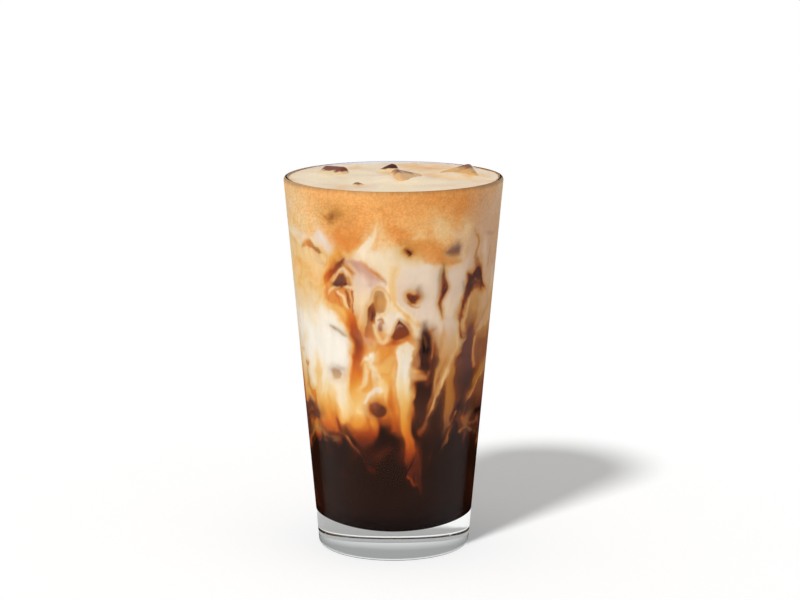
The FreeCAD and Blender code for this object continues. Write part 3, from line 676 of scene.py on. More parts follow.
# The middle: orange between the ice and the tall white tongue that sinks through it.
MIDDLE_STROKES: tuple[Stroke, ...] = (
    Window((T.ORANGE, T.HONEY, T.AMBER), ((-110, 96), (-92, 94), (-82, 96), (-78, 90), (-84, 76), (-88, 62),
        (-96, 60), (-106, 70), (-112, 80)), 4, 1, 0.95, 0, False),
    Window((T.CREMA_DARK, T.ORANGE), ((-132, 113), (-118, 114), (-115, 106), (-117, 101), (-124, 105),
        (-132, 108)), 3, 1, 0.9, 0, False),
    Streak((T.AMBER, T.HONEY, T.HONEY, T.BUTTER), ((-121.8, 128, 1.2), (-125.6, 124.6, 1.8),
        (-129.4, 120.8, 1.8), (-133.6, 116, 1.6), (-136.4, 111, 1.2), (-137, 107, 0.6)), 1.8, 0.95),
    Streak((T.AMBER, T.ORANGE), ((-120.6, 127, 0.5), (-124, 124, 0.6), (-128, 120.6, 0.6)), 1.6, 0.75),
    Streak((T.ORANGE, T.ORANGE, T.AMBER), ((-128, 119.6, 1.1), (-131.4, 116.6, 1.4), (-132.6, 114, 1)), 1.8,
        0.9),
    Streak((T.MAROON, T.CHESTNUT, T.RUST, T.ORANGE), ((-118.8, 125.6, 0.7), (-121.8, 123, 1.3),
        (-125.4, 120, 1.4), (-129, 117, 1.2), (-131.4, 115, 0.7)), 1.3, 0.95),
    Streak((T.TOFFEE, T.CHESTNUT), ((-119, 122.4, 0.8), (-116.4, 120.4, 1.2), (-114, 117.4, 0.8)), 2.2,
        0.8),
    Streak((T.MAUVE, T.MAUVE, T.MAUVE, T.ROSE), ((-117, 125, 0.6), (-112, 124, 1.8), (-107, 121.4, 2.8),
        (-101.6, 119, 2), (-96, 116.6, 0.8)), 1.8, 0.92),
    Streak((T.CREMA_DARK, T.RUST, T.MAUVE), ((-106, 124.6, 0.3), (-101.6, 121.4, 0.6), (-97, 118.6, 0.5),
        (-94, 116, 0.3)), 1.6, 0.7),
    Streak((T.PEACH,), ((-114, 125.6, 0.5), (-109, 126.6, 0.6), (-104, 124.4, 0.3)), 1.6, 0.7),
    Streak((T.PINK, T.ROSE, T.PINK), ((-113.4, 117.6, 1.4), (-108.6, 117.4, 2.6), (-103.4, 117, 2.4),
        (-99.6, 115.6, 1.4)), 2.2, 0.92),
    Streak((T.MAUVE,), ((-104.6, 114.4, 0.8), (-106.4, 111, 0.6)), 2, 0.6),
    Streak((T.PINK, T.PEACH, T.TAN, T.HONEY, T.CARAMEL), ((-110.6, 115, 3), (-111, 110, 3.4),
        (-110.6, 104, 3), (-110.4, 98, 2), (-110.8, 92.6, 0.9), (-110.7, 89.6, 0.25)), 1.3, 0.95),
    Streak((T.BUTTER,), ((-110, 106, 0.5), (-110.6, 100, 0.7), (-111, 95, 0.4)), 2.2, 0.6),
    Streak((T.RUST, T.CHESTNUT), ((-115.6, 111.6, 0.2), (-115, 106, 0.35), (-113.8, 100, 0.35),
        (-112.4, 94, 0.3)), 1, 0.85),
    Streak((T.CHESTNUT, T.CHESTNUT, T.TOFFEE, T.RUST), ((-102.4, 111.4, 0.9), (-103.8, 107.6, 1.5),
        (-104.4, 102.4, 1.6), (-105.6, 97.6, 1.4), (-108.4, 92.4, 0.8)), 1.2, 0.95),
    Streak((T.MAROON,), ((-102.6, 109.6, 0.35), (-103.8, 105, 0.5), (-104, 101.6, 0.3)), 0.9, 0.7),
    Streak((T.AMBER, T.ORANGE, T.RUST), ((-121, 103.6, 0.8), (-117.6, 101, 1.3), (-115.8, 97, 1.2),
        (-115, 92, 0.8)), 1.8, 0.95),
    Streak((T.HONEY, T.HONEY, T.AMBER), ((-129, 106, 1), (-124, 103.4, 1.4), (-119.6, 99.4, 1),
        (-117, 95, 0.5)), 2.4, 0.85),
    Streak((T.ORANGE, T.RUST, T.CHESTNUT, T.RUST, T.ORANGE, T.AMBER, T.HONEY, T.BUTTER),
        ((-115, 101.6, 0.8), (-113.6, 96, 1.5), (-112.6, 90.4, 2.1), (-113.4, 84.6, 2.4), (-114.6, 79, 2.3),
        (-114.4, 74, 1.9), (-113, 68.6, 1.8), (-112.6, 63, 1.4)), 1.8, 0.97),
    Streak((T.RUST,), ((-110.8, 90, 1), (-110, 86.4, 1.3), (-111.6, 82, 0.8)), 2, 0.85),
    Streak((T.ORANGE, T.RUST, T.ORANGE), ((-107, 95, 0.6), (-101, 92.4, 0.9), (-96, 90.6, 0.9),
        (-90, 92, 1.2), (-84, 94, 0.8)), 2.6, 0.85),
    Streak((T.ROSE, T.TAN), ((-107.4, 93.4, 1.6), (-104.6, 90.6, 1.8)), 2.6, 0.85),
    Streak((T.AMBER,), ((-103, 89, 1.2), (-96, 87, 1.6), (-91, 87, 1.2)), 3.4, 0.6),
    Streak((T.PEACH, T.CREAM, T.MILK, T.CREAM), ((-111.6, 81.8, 0.5), (-109.4, 84, 0.9), (-106, 85, 1),
        (-103.4, 87, 1.2), (-101.8, 84.6, 1)), 1.5, 0.93),
    Streak((T.CREAM, T.CREAM, T.BUTTER), ((-104.4, 84, 1.5), (-102, 80, 2.2), (-99.4, 76, 2.3),
        (-95, 72, 1.6)), 2.6, 0.88),
    Streak((T.BUTTER, T.CREAM, T.HONEY), ((-108.4, 82, 0.7), (-107.6, 78, 0.8), (-108.4, 74, 0.9),
        (-110, 70, 0.7)), 1.8, 0.85),
    Streak((T.CREMA_DARK, T.AMBER), ((-104.8, 79.6, 0.6), (-105.4, 75.6, 1.1), (-107.4, 71.6, 1)), 1.8,
        0.85),
    Streak((T.TAN,), ((-101, 76.6, 0.8), (-102.6, 74.6, 0.6)), 2, 0.7),
    Streak((T.HONEY, T.AMBER, T.ORANGE, T.ORANGE, T.RUST), ((-95.4, 80, 1.6), (-93.4, 74, 2.2),
        (-91.4, 67, 2.2), (-89.4, 61, 1.9), (-88, 55.6, 1.1)), 2.2, 0.93),
    Streak((T.BUTTER, T.HONEY), ((-96.6, 75, 1), (-95, 69, 0.9), (-93.6, 64, 0.6)), 2, 0.8),
    Streak((T.ORANGE, T.RUST, T.RUST, T.EMBER), ((-90, 86, 0.5), (-88.6, 77, 0.6), (-86.6, 69, 0.8),
        (-85, 61, 0.9), (-84.8, 53, 0.8), (-85, 46, 0.5)), 1.8, 0.85),
    Streak((T.CREAM, T.CREAM, T.CREAM, T.BUTTER, T.HONEY, T.AMBER, T.ORANGE, T.RUST, T.EMBER),
        ((-85, 91.6, 1.8), (-83.2, 87, 3.7), (-82, 81, 4.8), (-80.8, 74, 4.9), (-79.8, 67, 4.2),
        (-79.4, 61, 3.7), (-79.2, 55, 3.1), (-79.6, 50, 2.6), (-80.4, 44, 1.8), (-80.8, 40, 0.7)), 1.5, 1),
    Streak((T.MILK,), ((-82.8, 85, 1.2), (-82, 79, 1.8), (-82, 73, 1.2)), 4, 0.5),
    Streak((T.BUTTER, T.HONEY), ((-84, 73.6, 0.3), (-82.4, 72.8, 0.5), (-82.8, 69.6, 0.4),
        (-81.4, 66, 0.3)), 1.8, 0.5),
    Window((T.PLUM, T.CHESTNUT, T.BARK), ((-76.6, 93), (-73.4, 93), (-71, 99), (-66, 96), (-64.6, 88),
        (-65.6, 78), (-68, 70), (-73, 72), (-73, 80), (-74.4, 86)), 1.8, 0.6, 0.92, 0, False),
    Streak((T.BARK, T.COFFEE, T.BARK, T.COFFEE), ((-70.4, 88, 2.2), (-70.6, 81, 2.4), (-70.8, 73, 2.6),
        (-71, 64, 2.6), (-71, 57, 2.4), (-70.6, 51.6, 1.4)), 1.8, 0.95),
    Streak((T.CARAMEL, T.UMBRA, T.DUSK), ((-80, 93.6, 0.5), (-77.6, 89, 0.5), (-75.4, 84.6, 0.5),
        (-73.8, 80, 0.4)), 1.3, 0.7),
    Streak((T.SIENNA, T.TOFFEE), ((-80.6, 91.6, 0.5), (-78.4, 86.6, 0.5), (-76.6, 81.6, 0.4)), 1.3, 0.7),
    Streak((T.TAN, T.CARAMEL, T.TOFFEE), ((-75.4, 76.6, 1.4), (-72.6, 76, 1.3), (-70, 76.6, 0.7),
        (-68, 78.6, 0.4)), 1.6, 0.85),
    Streak((T.CREMA_PALE,), ((-75.4, 78.6, 0.5), (-73.4, 78.4, 0.5)), 1.5, 0.7),
    Streak((T.CHESTNUT,), ((-69.4, 77.6, 0.3), (-67, 75, 0.5), (-69.6, 73.4, 0.3)), 1.3, 0.7),
    Streak((T.TOFFEE, T.RUST), ((-66.4, 57.6, 0.4), (-68.4, 54.4, 0.6), (-70.4, 52.4, 0.5)), 1.6, 0.75),
)

# Ice: where a cube lies against the wall, the dark of the drink behind it shows through.
ICE_STROKES: tuple[Stroke, ...] = (
    # dark spot in the crema, in its own halo
    Streak((T.OLIVE,), ((-84, 129.4, 1.2), (-80.6, 128.4, 1.4)), 4.6, 0.72, 1, True),
    Streak((T.UMBER,), ((-83.6, 129.6, 0.6), (-81, 128.2, 0.8)), 2.4, 0.7, 0.6, True),
    Streak((T.MAROON,), ((-82.6, 129, 0.5), (-81, 128, 0.7)), 1.5, 0.95, 0, True),
    # smoky wedge in the crema on the right
    Window((T.DUSK, T.PLUM, T.CARAMEL), ((-59.6, 127.6), (-56, 129.6), (-52.2, 131), (-50.2, 129.6),
        (-50.6, 126.4), (-55.6, 125.4)), 1.7, 0.3, 0.85),
    Streak((T.SMOKE,), ((-56, 128.6, 0.3), (-52.4, 130.2, 0.25)), 1.6, 0.55, 0, True),
    # heart-shaped window, with a painted soft shadow of grey to its upper right
    Streak((T.SMOKE,), ((-75.6, 114, 1), (-74.4, 111, 1.1)), 3.8, 0.6, 0, True),
    Streak((T.DUSK,), ((-76.4, 113, 0.5), (-75.4, 110.6, 0.6)), 2, 0.6, 0, True),
    Streak((T.TOFFEE, T.CARAMEL), ((-81.6, 108.4, 0.2), (-79.6, 106.8, 0.4), (-76.4, 106, 0.3),
        (-74.8, 106.4, 0.15)), 0.9, 0.8, 0, True),
    Streak((T.CHESTNUT, T.MAROON, T.CHESTNUT), ((-81.2, 111.4, 1), (-79, 110, 1.7), (-76.8, 110.4, 1.3)),
        1.5, 0.92, 0, True),
    Streak((T.CHESTNUT,), ((-79, 108.8, 0.9), (-77.6, 108.2, 0.5)), 1, 0.9, 0, True),
    Streak((T.TAN,), ((-79.8, 112.8, 0.3), (-78.6, 112, 0.25)), 0.9, 0.6, 0, True),
    # tall dark cleft
    Streak((T.SMOKE,), ((-62.6, 121, 0.7), (-62.2, 116.6, 1.1), (-62.4, 111, 0.5)), 3.2, 0.65, 0, True),
    Streak((T.OLIVE, T.UMBER, T.CHESTNUT, T.MAROON, T.CHESTNUT, T.UMBER, T.TOFFEE), ((-60.8, 123, 0.3),
        (-60.4, 119.6, 0.6), (-59.8, 116.6, 1), (-59.2, 113.4, 1.5), (-60.2, 110.4, 1.1),
        (-61.6, 107.6, 0.9), (-60.8, 104.8, 0.6), (-59.4, 101.4, 0.25)), 1.1, 0.95, 0, True),
    Streak((T.HONEY, T.SIENNA), ((-59.4, 101.6, 0.25), (-58.4, 97, 0.35), (-55.6, 92.4, 0.25)), 1.6, 0.7),
    # grey shadow at the edge of the white
    Streak((T.SMOKE,), ((-46.4, 115, 0.3), (-45, 111.6, 0.6)), 2.2, 0.55, 0, True),
    # dark triangle with a lit edge, among the orange
    Window((T.CHESTNUT, T.PLUM, T.MAROON), ((-127, 114.6), (-124.6, 116.8), (-122.4, 119), (-119.8, 119.6),
        (-118, 117.6), (-117.8, 114.8), (-121.6, 113.9)), 1, 0.3, 0.96),
    Streak((T.SMOKE,), ((-127, 114.2, 0.2), (-124.6, 113.8, 0.3), (-122.6, 113.6, 0.2)), 1, 0.6, 0, True),
    Streak((T.BUTTER, T.PINK, T.BLUSH), ((-127.6, 115.6, 0.15), (-124.6, 118.2, 0.2), (-121.6, 120.8, 0.5),
        (-118.8, 121.2, 0.4), (-116.8, 118.4, 0.3)), 0.8, 0.75, 0, True),
    Streak((T.TOFFEE, T.CARAMEL), ((-116.6, 118, 0.5), (-116, 114.6, 0.6), (-118, 112.6, 0.4)), 1.6, 0.6, 0,
        True),
    # curled wisps of cream below it
    Streak((T.CREAM, T.BUTTER, T.CREAM), ((-124.2, 111, 0.6), (-122.2, 108.4, 0.9), (-120.4, 105.8, 0.7),
        (-118.2, 104.6, 0.4), (-117.4, 106.8, 0.3)), 1, 0.85),
    Streak((T.CHESTNUT,), ((-120, 111, 0.3), (-118, 108, 0.4), (-117, 105, 0.3)), 1.1, 0.7),
    Streak((T.BUTTER, T.BLUSH), ((-130.4, 109.4, 0.2), (-127, 112, 0.3), (-122, 113, 0.3),
        (-117, 113.2, 0.2)), 1, 0.75),
    Streak((T.RUST,), ((-126, 111, 0.3), (-124, 107.6, 0.4), (-121.6, 103.8, 0.4)), 1.1, 0.6),
    # caramel egg with a pale rim
    Streak((T.CARAMEL, T.SIENNA, T.CARAMEL), ((-98.2, 111, 2.2), (-97.8, 108, 2.5), (-98, 105.4, 1.9)), 1.2,
        0.95, 0, True),
    Streak((T.TOFFEE,), ((-99.8, 110.6, 0.5), (-100.2, 107.6, 0.6), (-99.6, 105, 0.4)), 1.6, 0.6, 0, True),
    Ring(T.PEACH, (-97.8, 108.2), (3.1, 5.4), 0.3, 0.9, 0.8, -20),
    Ring(T.CREMA_DARK, (-97.8, 108.4), (3.7, 6), 0.25, 1, 0.6, 80),
    # two knuckles of milky ice
    Streak((T.CREAM, T.PEACH, T.CREAM, T.PEACH), ((-101.6, 99, 0.7), (-100.4, 95.6, 0.9), (-98, 92.6, 1.2),
        (-94.6, 92.4, 1.3), (-92, 95.6, 1.5), (-90.8, 100, 1.3), (-91, 104, 0.8)), 1.8, 0.78, 0, True),
    Streak((T.TAN,), ((-96, 94, 0.5), (-94, 95, 0.6)), 1.6, 0.6, 0, True),
    Streak((T.MAUVE, T.UMBRA), ((-97.4, 100.4, 0.8), (-97.8, 97.4, 0.9)), 1, 0.9, 0, True),
    Streak((T.CHESTNUT,), ((-99.4, 101, 0.2), (-97, 101.6, 0.3), (-95.8, 100, 0.2)), 0.9, 0.6, 0, True),
    Streak((T.LILAC,), ((-91, 104, 0.6), (-90.6, 101.6, 0.5)), 2.2, 0.7, 0, True),
    # dark facet over the glow, with painted highlights in pink and rose along its top edges
    Window((T.MAROON, T.CHESTNUT, T.CHESTNUT), ((-86.4, 101), (-83.4, 99.6), (-80.8, 97.2), (-80.6, 95.4),
        (-84, 93.8), (-89, 92.8), (-90.8, 94), (-88.6, 98)), 1, 0.3, 0.96),
    Streak((T.PINK,), ((-86, 101.4, 0.15), (-83, 99.6, 0.2), (-80.4, 97.2, 0.15)), 0.6, 0.8, 0, True),
    Streak((T.ROSE,), ((-88, 97.6, 0.15), (-86.4, 99.2, 0.3), (-84.6, 98.6, 0.25)), 0.8, 0.75, 0, True),
    Streak((T.RUST, T.ORANGE), ((-90, 91.6, 0.5), (-85.6, 92, 0.8), (-81.4, 93.6, 0.5)), 2, 0.85, 0, True),
    # upright facet with golden lines
    Streak((T.SMOKE, T.BARK, T.NIGHT, T.NIGHT), ((-71, 98, 0.9), (-70.4, 95.6, 1.6), (-70, 92.6, 2),
        (-69.8, 88.6, 1.7)), 1.4, 0.92, 0, True),
    Streak((T.TOFFEE,), ((-71.6, 94, 0.15), (-70.8, 92, 0.25), (-70, 90.4, 0.2), (-69.6, 89.4, 0.1)), 0.7,
        0.8, 0, True),
    Streak((T.TOFFEE,), ((-70.2, 93.6, 0.1), (-69.2, 91.6, 0.2), (-68.4, 90, 0.15)), 0.7, 0.7, 0, True),
    Streak((T.TAN, T.SIENNA), ((-67, 97.6, 0.25), (-65.2, 93.6, 0.4), (-65.2, 89, 0.3), (-66, 85, 0.25)),
        1.2, 0.75, 0, True),
    # soft shadows of ice behind bright milk
    Streak((T.SMOKE,), ((-130.6, 97, 0.3), (-126.4, 96, 0.7), (-122.6, 94.8, 0.6), (-119.6, 93.8, 0.25)),
        2.4, 0.78, 0, True),
    Streak((T.UMBER,), ((-129, 96.8, 0.1), (-126.8, 96, 0.2)), 1.2, 0.4, 0, True),
    Streak((T.UMBER,), ((-122.6, 94.4, 0.1), (-120.6, 93.8, 0.15)), 1, 0.35, 0, True),
    Window((T.DUSK, T.CARAMEL), ((-132.6, 78.6), (-130.4, 79.4), (-126.6, 79.2), (-125.4, 77.6),
        (-126.8, 75.8), (-131.4, 75.9)), 2, 0.6, 0.72),
    Streak((T.SMOKE,), ((-127, 80.4, 0.8), (-123, 80, 1)), 4, 0.35, 0, True),
    # round cube at the edge of the coffee
    Streak((T.UMBRA, T.PLUM, T.BARK), ((-103, 65, 2.4), (-101.2, 64.4, 3.1), (-99.2, 63.6, 3)), 2.4, 0.9, 0,
        True),
    Streak((T.CHESTNUT,), ((-104.6, 65.6, 0.8), (-103, 62.4, 0.7)), 2.4, 0.8, 0, True),
    Ring(T.TAN, (-101, 64.4), (4.5, 4.9), 0.35, 1.2, 0.75, 165),
    Ring(T.SIENNA, (-100.8, 64), (3.6, 4), 0.3, 1.4, 0.45, 200),
    Streak((T.CREAM, T.BLUSH, T.CREAM), ((-107.6, 67.6, 0.5), (-105, 70.6, 0.8), (-101.4, 72, 1.2),
        (-98, 71.4, 1)), 1.6, 0.88),
    Streak((T.LILAC,), ((-103.4, 71.6, 0.4), (-100, 71.8, 0.8)), 1.8, 0.6, 0, True),
)

STROKE_GROUPS = (
    CREMA_STROKES,
    LOWER_LEFT,
    UPPER_MILK,
    COFFEE_STROKES,
    RIGHT_STROKES,
    MIDDLE_STROKES,
    ICE_STROKES,
)


# ---------------------------------------------------------------- marbling


def ramp(at: np.ndarray, tints: tuple[Tint, ...], marks: tuple[float, ...]) -> np.ndarray:
    """Colours along a run of tints.

    Args:
        at: where to read the run.
        tints: the tints in order.
        marks: where each one lies.

    Returns:
        One row of sRGB for each value of at.
    """
    table = np.array([tint_array(t) for t in tints])
    return np.stack([np.interp(at, marks, table[:, n]) for n in range(3)], axis=1)


# the run of colours from coffee to milk, from dark to light, and how light each one is
WARM = (T.NIGHT, T.COFFEE, T.EMBER, T.RUST, T.ORANGE, T.AMBER, T.HONEY, T.BUTTER, T.CREAM, T.MILK)
LIGHTNESS = np.array([0.30, 0.59, 0.11])
RUN = tuple(sorted(WARM, key=lambda tint: float(tint_array(tint) @ LIGHTNESS)))
MARKS = tuple(float(tint_array(tint) @ LIGHTNESS) for tint in RUN)

# tints whose edges stay nearly plain, as those of ice and of milk in its own shadow do
COOL = (T.SMOKE, T.LILAC, T.MAUVE, T.DUSK, T.ROSE, T.PINK, T.BLUSH, T.PLUM)


def warm_mix(
    under: np.ndarray, over: np.ndarray, share: np.ndarray, warmth: float
) -> np.ndarray:
    """Lays one colour over another as milk thins out into coffee.

    Where a light and a dark meet, what lies between them isn't grey: thin milk in coffee
    glows amber and orange, so the mix is drawn towards the tint of that run with the same
    lightness.

    Args:
        under: sRGB rows that are there already.
        over: sRGB rows laid on them.
        share: how much of the second shows at each row.
        warmth: how far the mix is drawn, from 0 to 1.

    Returns:
        The mixed rows.
    """
    share = share[:, None]
    plain = under * (1 - share) + over * share
    glow = ramp(plain @ LIGHTNESS, RUN, MARKS)
    step = np.abs((over - under) @ LIGHTNESS)[:, None]
    pull = 4 * share * (1 - share) * np.clip(2.4 * step - 0.2, 0, 1)
    return plain + (glow - plain) * pull * warmth


@dataclass(frozen=True)
class Marbling:
    """The look of the drink at its wall: the layers first, then every stroke in order.

    Args:
        coffee_line: mean height of the top of the coffee, in millimetres.
        crema_line: mean height of the foot of the crema, in millimetres.
        swirls: how far the swirls bend the strokes and how large they are, in millimetres,
            from the large ones to the small.
        fray: how ragged the edge of a stroke is, in millimetres.
        grain: how much the bubbles of the crema lighten and darken it.
        threads: how much fine threads of milk lighten and darken the drink.
        veins: how strongly thin curled veins show.
        far_turn: degrees from each stroke to its like on the far side, which nobody has seen.
        far_shift: how much that turn, in degrees, and its height, in millimetres, may vary.
        far_bare: share of the strokes that have no like on the far side.
        warmth: how far the edges of cool and of warm tints are drawn to amber and orange.
        seed: picks the swirls.
    """

    coffee_line: float = 51.0
    crema_line: float = 131.0
    swirls: tuple[tuple[float, float], ...] = ((1.3, 11.0), (0.75, 4.6), (0.35, 1.9))
    fray: float = 0.9
    grain: float = 0.02
    threads: float = 0.02
    veins: float = 0.3
    far_turn: float = 170.0
    far_shift: tuple[float, float] = (4.0, 3.0)
    far_bare: float = 0.12
    warmth: tuple[float, float] = (0.15, 0.75)
    seed: int = 7

    def bent(self, wall: Wall, seed: int) -> Wall:
        """The wall as the swirls bend it, the large ones first."""
        for n, (reach, size) in enumerate(self.swirls):
            across = reach * turbulence(wall, size, size * 1.3, 2, seed + 20 * n)
            up = reach * turbulence(wall, size, size * 1.3, 2, seed + 7 + 20 * n)
            wall = wall.shifted(across, up)
        return wall

    def layers(self, wall: Wall) -> tuple[np.ndarray, np.ndarray]:
        """Coffee, milk and crema before any stroke.

        Args:
            wall: where to paint.

        Returns:
            The colours, and how foamy each point is.
        """
        bent = self.bent(wall, self.seed + 100)
        lean = turbulence(bent, 26, 60, 3, self.seed + 40)
        streaks = turbulence(bent, 7, 34, 3, self.seed + 60)
        line = self.coffee_line + 5 * lean
        tone = np.clip(0.5 + 0.55 * streaks + 0.25 * lean, 0, 1)
        # up from the coffee, over some 16 mm: ember, rust, amber, honey, butter and cream
        rise = (bent.height - line) / 16 + 0.35 * streaks
        stops = (T.COFFEE, T.EMBER, T.RUST, T.AMBER, T.HONEY, T.BUTTER, T.CREAM)
        marks = (0.0, 0.12, 0.28, 0.5, 0.72, 1.0, 1.4)
        colours = ramp(rise, stops, marks)
        shades = (T.MILK, T.CREAM, T.BUTTER, T.HONEY, T.CREMA_DARK)
        milk = ramp(tone, shades, (0, 0.35, 0.6, 0.85, 1))
        share = smooth((rise - 0.75) / 0.9)[:, None]
        colours = colours * (1 - share) + milk * share
        foot = self.crema_line + 4.5 * turbulence(bent, 22, 40, 3, self.seed + 80)
        crema = smooth((bent.height - foot) / 2.2 + 0.5)
        froth = ramp(
            0.5 + 0.3 * turbulence(bent, 18, 12, 3, self.seed + 90),
            (T.CREMA_PALE, T.CREMA, T.CREMA_DARK),
            (-0.6, 0.4, 1.1),
        )
        colours = colours * (1 - crema[:, None]) + froth * crema[:, None]
        # the coffee darkens below 26 mm, down to its foot
        deep = smooth((26 - wall.height) / 14)[:, None]
        dark = smooth((line - bent.height) / 3)[:, None]
        colours = colours * (1 - deep * dark) + tint_array(T.NIGHT) * deep * dark
        return colours, crema

    def paint(self, wall: Wall) -> tuple[np.ndarray, np.ndarray]:
        """Lays all the strokes, and the same again, turned and moved a little, on the far side.

        Args:
            wall: where to paint.

        Returns:
            Colours in sRGB from 0 to 1, and how foamy each point is.
        """
        colours, foamy = self.layers(wall)
        bent = self.bent(wall, self.seed)
        # ice has an outline that is only a little worn
        worn = [0.35 * turbulence(wall, 4.2, 4.2, 3, self.seed + n) for n in (300, 310)]
        firm = wall.shifted(*worn)
        ragged = self.fray * turbulence(bent, 3.2, 7, 3, self.seed + 200)
        blur = 1 + 0.8 * turbulence(bent, 9, 12, 2, self.seed + 220)
        dice = np.random.default_rng(self.seed)
        swing, rise = self.far_shift
        cool, warm = self.warmth
        for stroke in (s for group in STROKE_GROUPS for s in group):
            turn = self.far_turn + dice.uniform(-swing, swing)
            far = stroke.moved(turn, dice.uniform(-rise, rise))
            for each in (stroke, far) if dice.random() > self.far_bare else (stroke,):
                near, gap, along = each.gap(firm if each.calm else bent)
                if not len(near):
                    continue
                edge = each.soft * np.clip(blur[near], 0.4, 2)
                if not each.calm:
                    gap = gap + ragged[near] * min(1, each.soft / 1.5)
                mask = smooth(0.5 - gap / edge)
                haze = smooth(1 - np.maximum(gap, 0) / each.haze) ** 2 * each.glow
                marks = np.linspace(0, 1, len(each.tints)) if len(each.tints) > 1 else (0,)
                ink = ramp(along, each.tints, tuple(marks))
                share = np.maximum(mask, haze) * each.strength
                drawn = (cool if each.tints[0] in COOL else warm) * min(1, 0.35 + each.soft / 3)
                colours[near] = warm_mix(colours[near], ink, share, drawn)
                foamy[near] += (each.foamy - foamy[near]) * share
        return self.threaded(wall, bent, colours, foamy), foamy

    def threaded(
        self, wall: Wall, bent: Wall, colours: np.ndarray, foamy: np.ndarray
    ) -> np.ndarray:
        """Draws fine veins of milk and coffee over the colours, and the grain of the crema.

        Args:
            wall: where to paint.
            bent: the same wall as the swirls bend it.
            colours: sRGB rows.
            foamy: how foamy each point is.

        Returns:
            The finished rows.
        """
        grain = turbulence(wall, 2.4, 2.0, 2, self.seed + 400) * self.grain
        silk = turbulence(bent, 2.2, 9, 3, self.seed + 420) * self.threads
        curls = [3.0 * turbulence(bent, 14, 18, 2, self.seed + n) for n in (440, 450)]
        curl = bent.shifted(*curls)
        ridge = 1 - np.abs(turbulence(curl, 9, 22, 3, self.seed + 460)) / 0.10
        where = smooth(turbulence(bent, 16, 16, 2, self.seed + 480) * 1.5)
        vein = smooth(ridge) * where * (1 - 0.8 * foamy)
        # a vein is darker than light milk and lighter than dark coffee
        light = colours @ LIGHTNESS
        tea = ramp(light - 0.16, RUN, MARKS)
        milky = ramp(light + 0.12, RUN, MARKS)
        pick = smooth((light - 0.45) * 5)[:, None]
        ink = tea * pick + milky * (1 - pick)
        colours = colours + (ink - colours) * (vein * self.veins)[:, None]
        tone = 1 + grain * foamy + silk * (1 - 0.6 * foamy)
        return colours * tone[:, None]


# ---------------------------------------------------------------- nodes and meshes


def add_node(
    tree: bpy.types.NodeTree,
    kind: str,
    inputs: dict | None = None,
    **settings,
) -> bpy.types.Node:
    """Adds a node to a tree.

    Args:
        tree: the tree to add it to.
        kind: the node's type name, without ShaderNode.
        inputs: what each input gets, by its name or number: a value, or an output socket.
        settings: properties of the node itself.

    Returns:
        The new node.
    """
    node = tree.nodes.new(f"ShaderNode{kind}")
    for name, value in settings.items():
        setattr(node, name, value)
    for name, value in (inputs or {}).items():
        if isinstance(value, bpy.types.NodeSocket):
            tree.links.new(value, node.inputs[name])
        else:
            node.inputs[name].default_value = value
    return node


def per_mm(size: float) -> float:
    """The texture scale, over metres, that makes a pattern's cell so many millimetres wide."""
    return 1 / (size * MM)


def new_material(name: str) -> tuple[bpy.types.Material, bpy.types.NodeTree]:
    """An empty node material and its tree."""
    material = bpy.data.materials.new(name)
    material.use_nodes = True
    material.node_tree.nodes.clear()
    return material, material.node_tree


def make_skin(name: str, rings: np.ndarray, creases: tuple[int, ...] = ()) -> bpy.types.Object:
    """Builds a closed round mesh from rings of points, shut at both ends by a point.

    Args:
        name: the piece's name.
        rings: points in millimetres, rows of rings from the lower end to the upper one.
        creases: the rings at which the shading has an edge.

    Returns:
        The new object, linked to the scene.
    """
    rows, columns, _ = rings.shape
    ends = np.stack([rings[0].mean(0), rings[-1].mean(0)])
    points = np.vstack([rings.reshape(-1, 3), ends]) * MM
    low, high = rows * columns, rows * columns + 1
    here = np.arange(columns)
    after = (here + 1) % columns
    faces = []
    for row in range(rows - 1):
        a, b = row * columns, (row + 1) * columns
        faces += np.stack([a + here, a + after, b + after, b + here], 1).tolist()
    faces += np.stack([after, here, np.full(columns, low)], 1).tolist()
    top = (rows - 1) * columns
    faces += np.stack([top + here, top + after, np.full(columns, high)], 1).tolist()
    mesh = bpy.data.meshes.new(name)
    mesh.from_pydata(points.tolist(), [], faces)
    mesh.validate()
    mesh.polygons.foreach_set("use_smooth", [True] * len(mesh.polygons))
    pairs = np.empty(2 * len(mesh.edges), np.int32)
    mesh.edges.foreach_get("vertices", pairs)
    rows_of = pairs.reshape(-1, 2) // columns
    level = rows_of[:, 0] == rows_of[:, 1]
    sharp = level & np.isin(rows_of[:, 0], creases)
    mesh.edges.foreach_set("use_edge_sharp", sharp)
    mesh.update()
    piece = bpy.data.objects.new(name, mesh)
    bpy.context.scene.collection.objects.link(piece)
    return piece


def lay_colours(piece: bpy.types.Object, colours: np.ndarray, foamy: np.ndarray) -> None:
    """Stores sRGB colours and foaminess on a piece's vertices, for its materials to read."""
    light = np.clip(linearised(colours), 0, 1)
    rows = np.column_stack([light, np.ones(len(light))]).astype(np.float32)
    layer = piece.data.attributes.new("marbling", "FLOAT_COLOR", "POINT")
    layer.data.foreach_set("color", rows.ravel())
    froth = piece.data.attributes.new("froth", "FLOAT", "POINT")
    froth.data.foreach_set("value", np.clip(foamy, 0, 1).astype(np.float32))


def wall_of(piece: bpy.types.Object) -> Wall:
    """The vertices of a piece, as points on the wall of the drink."""
    spots = np.empty(len(piece.data.vertices) * 3)
    piece.data.vertices.foreach_get("co", spots)
    x, y, z = spots.reshape(-1, 3).T / MM
    return Wall(np.degrees(np.arctan2(y, x)), z, np.maximum(np.hypot(x, y), 5.0))


# ---------------------------------------------------------------- finishes


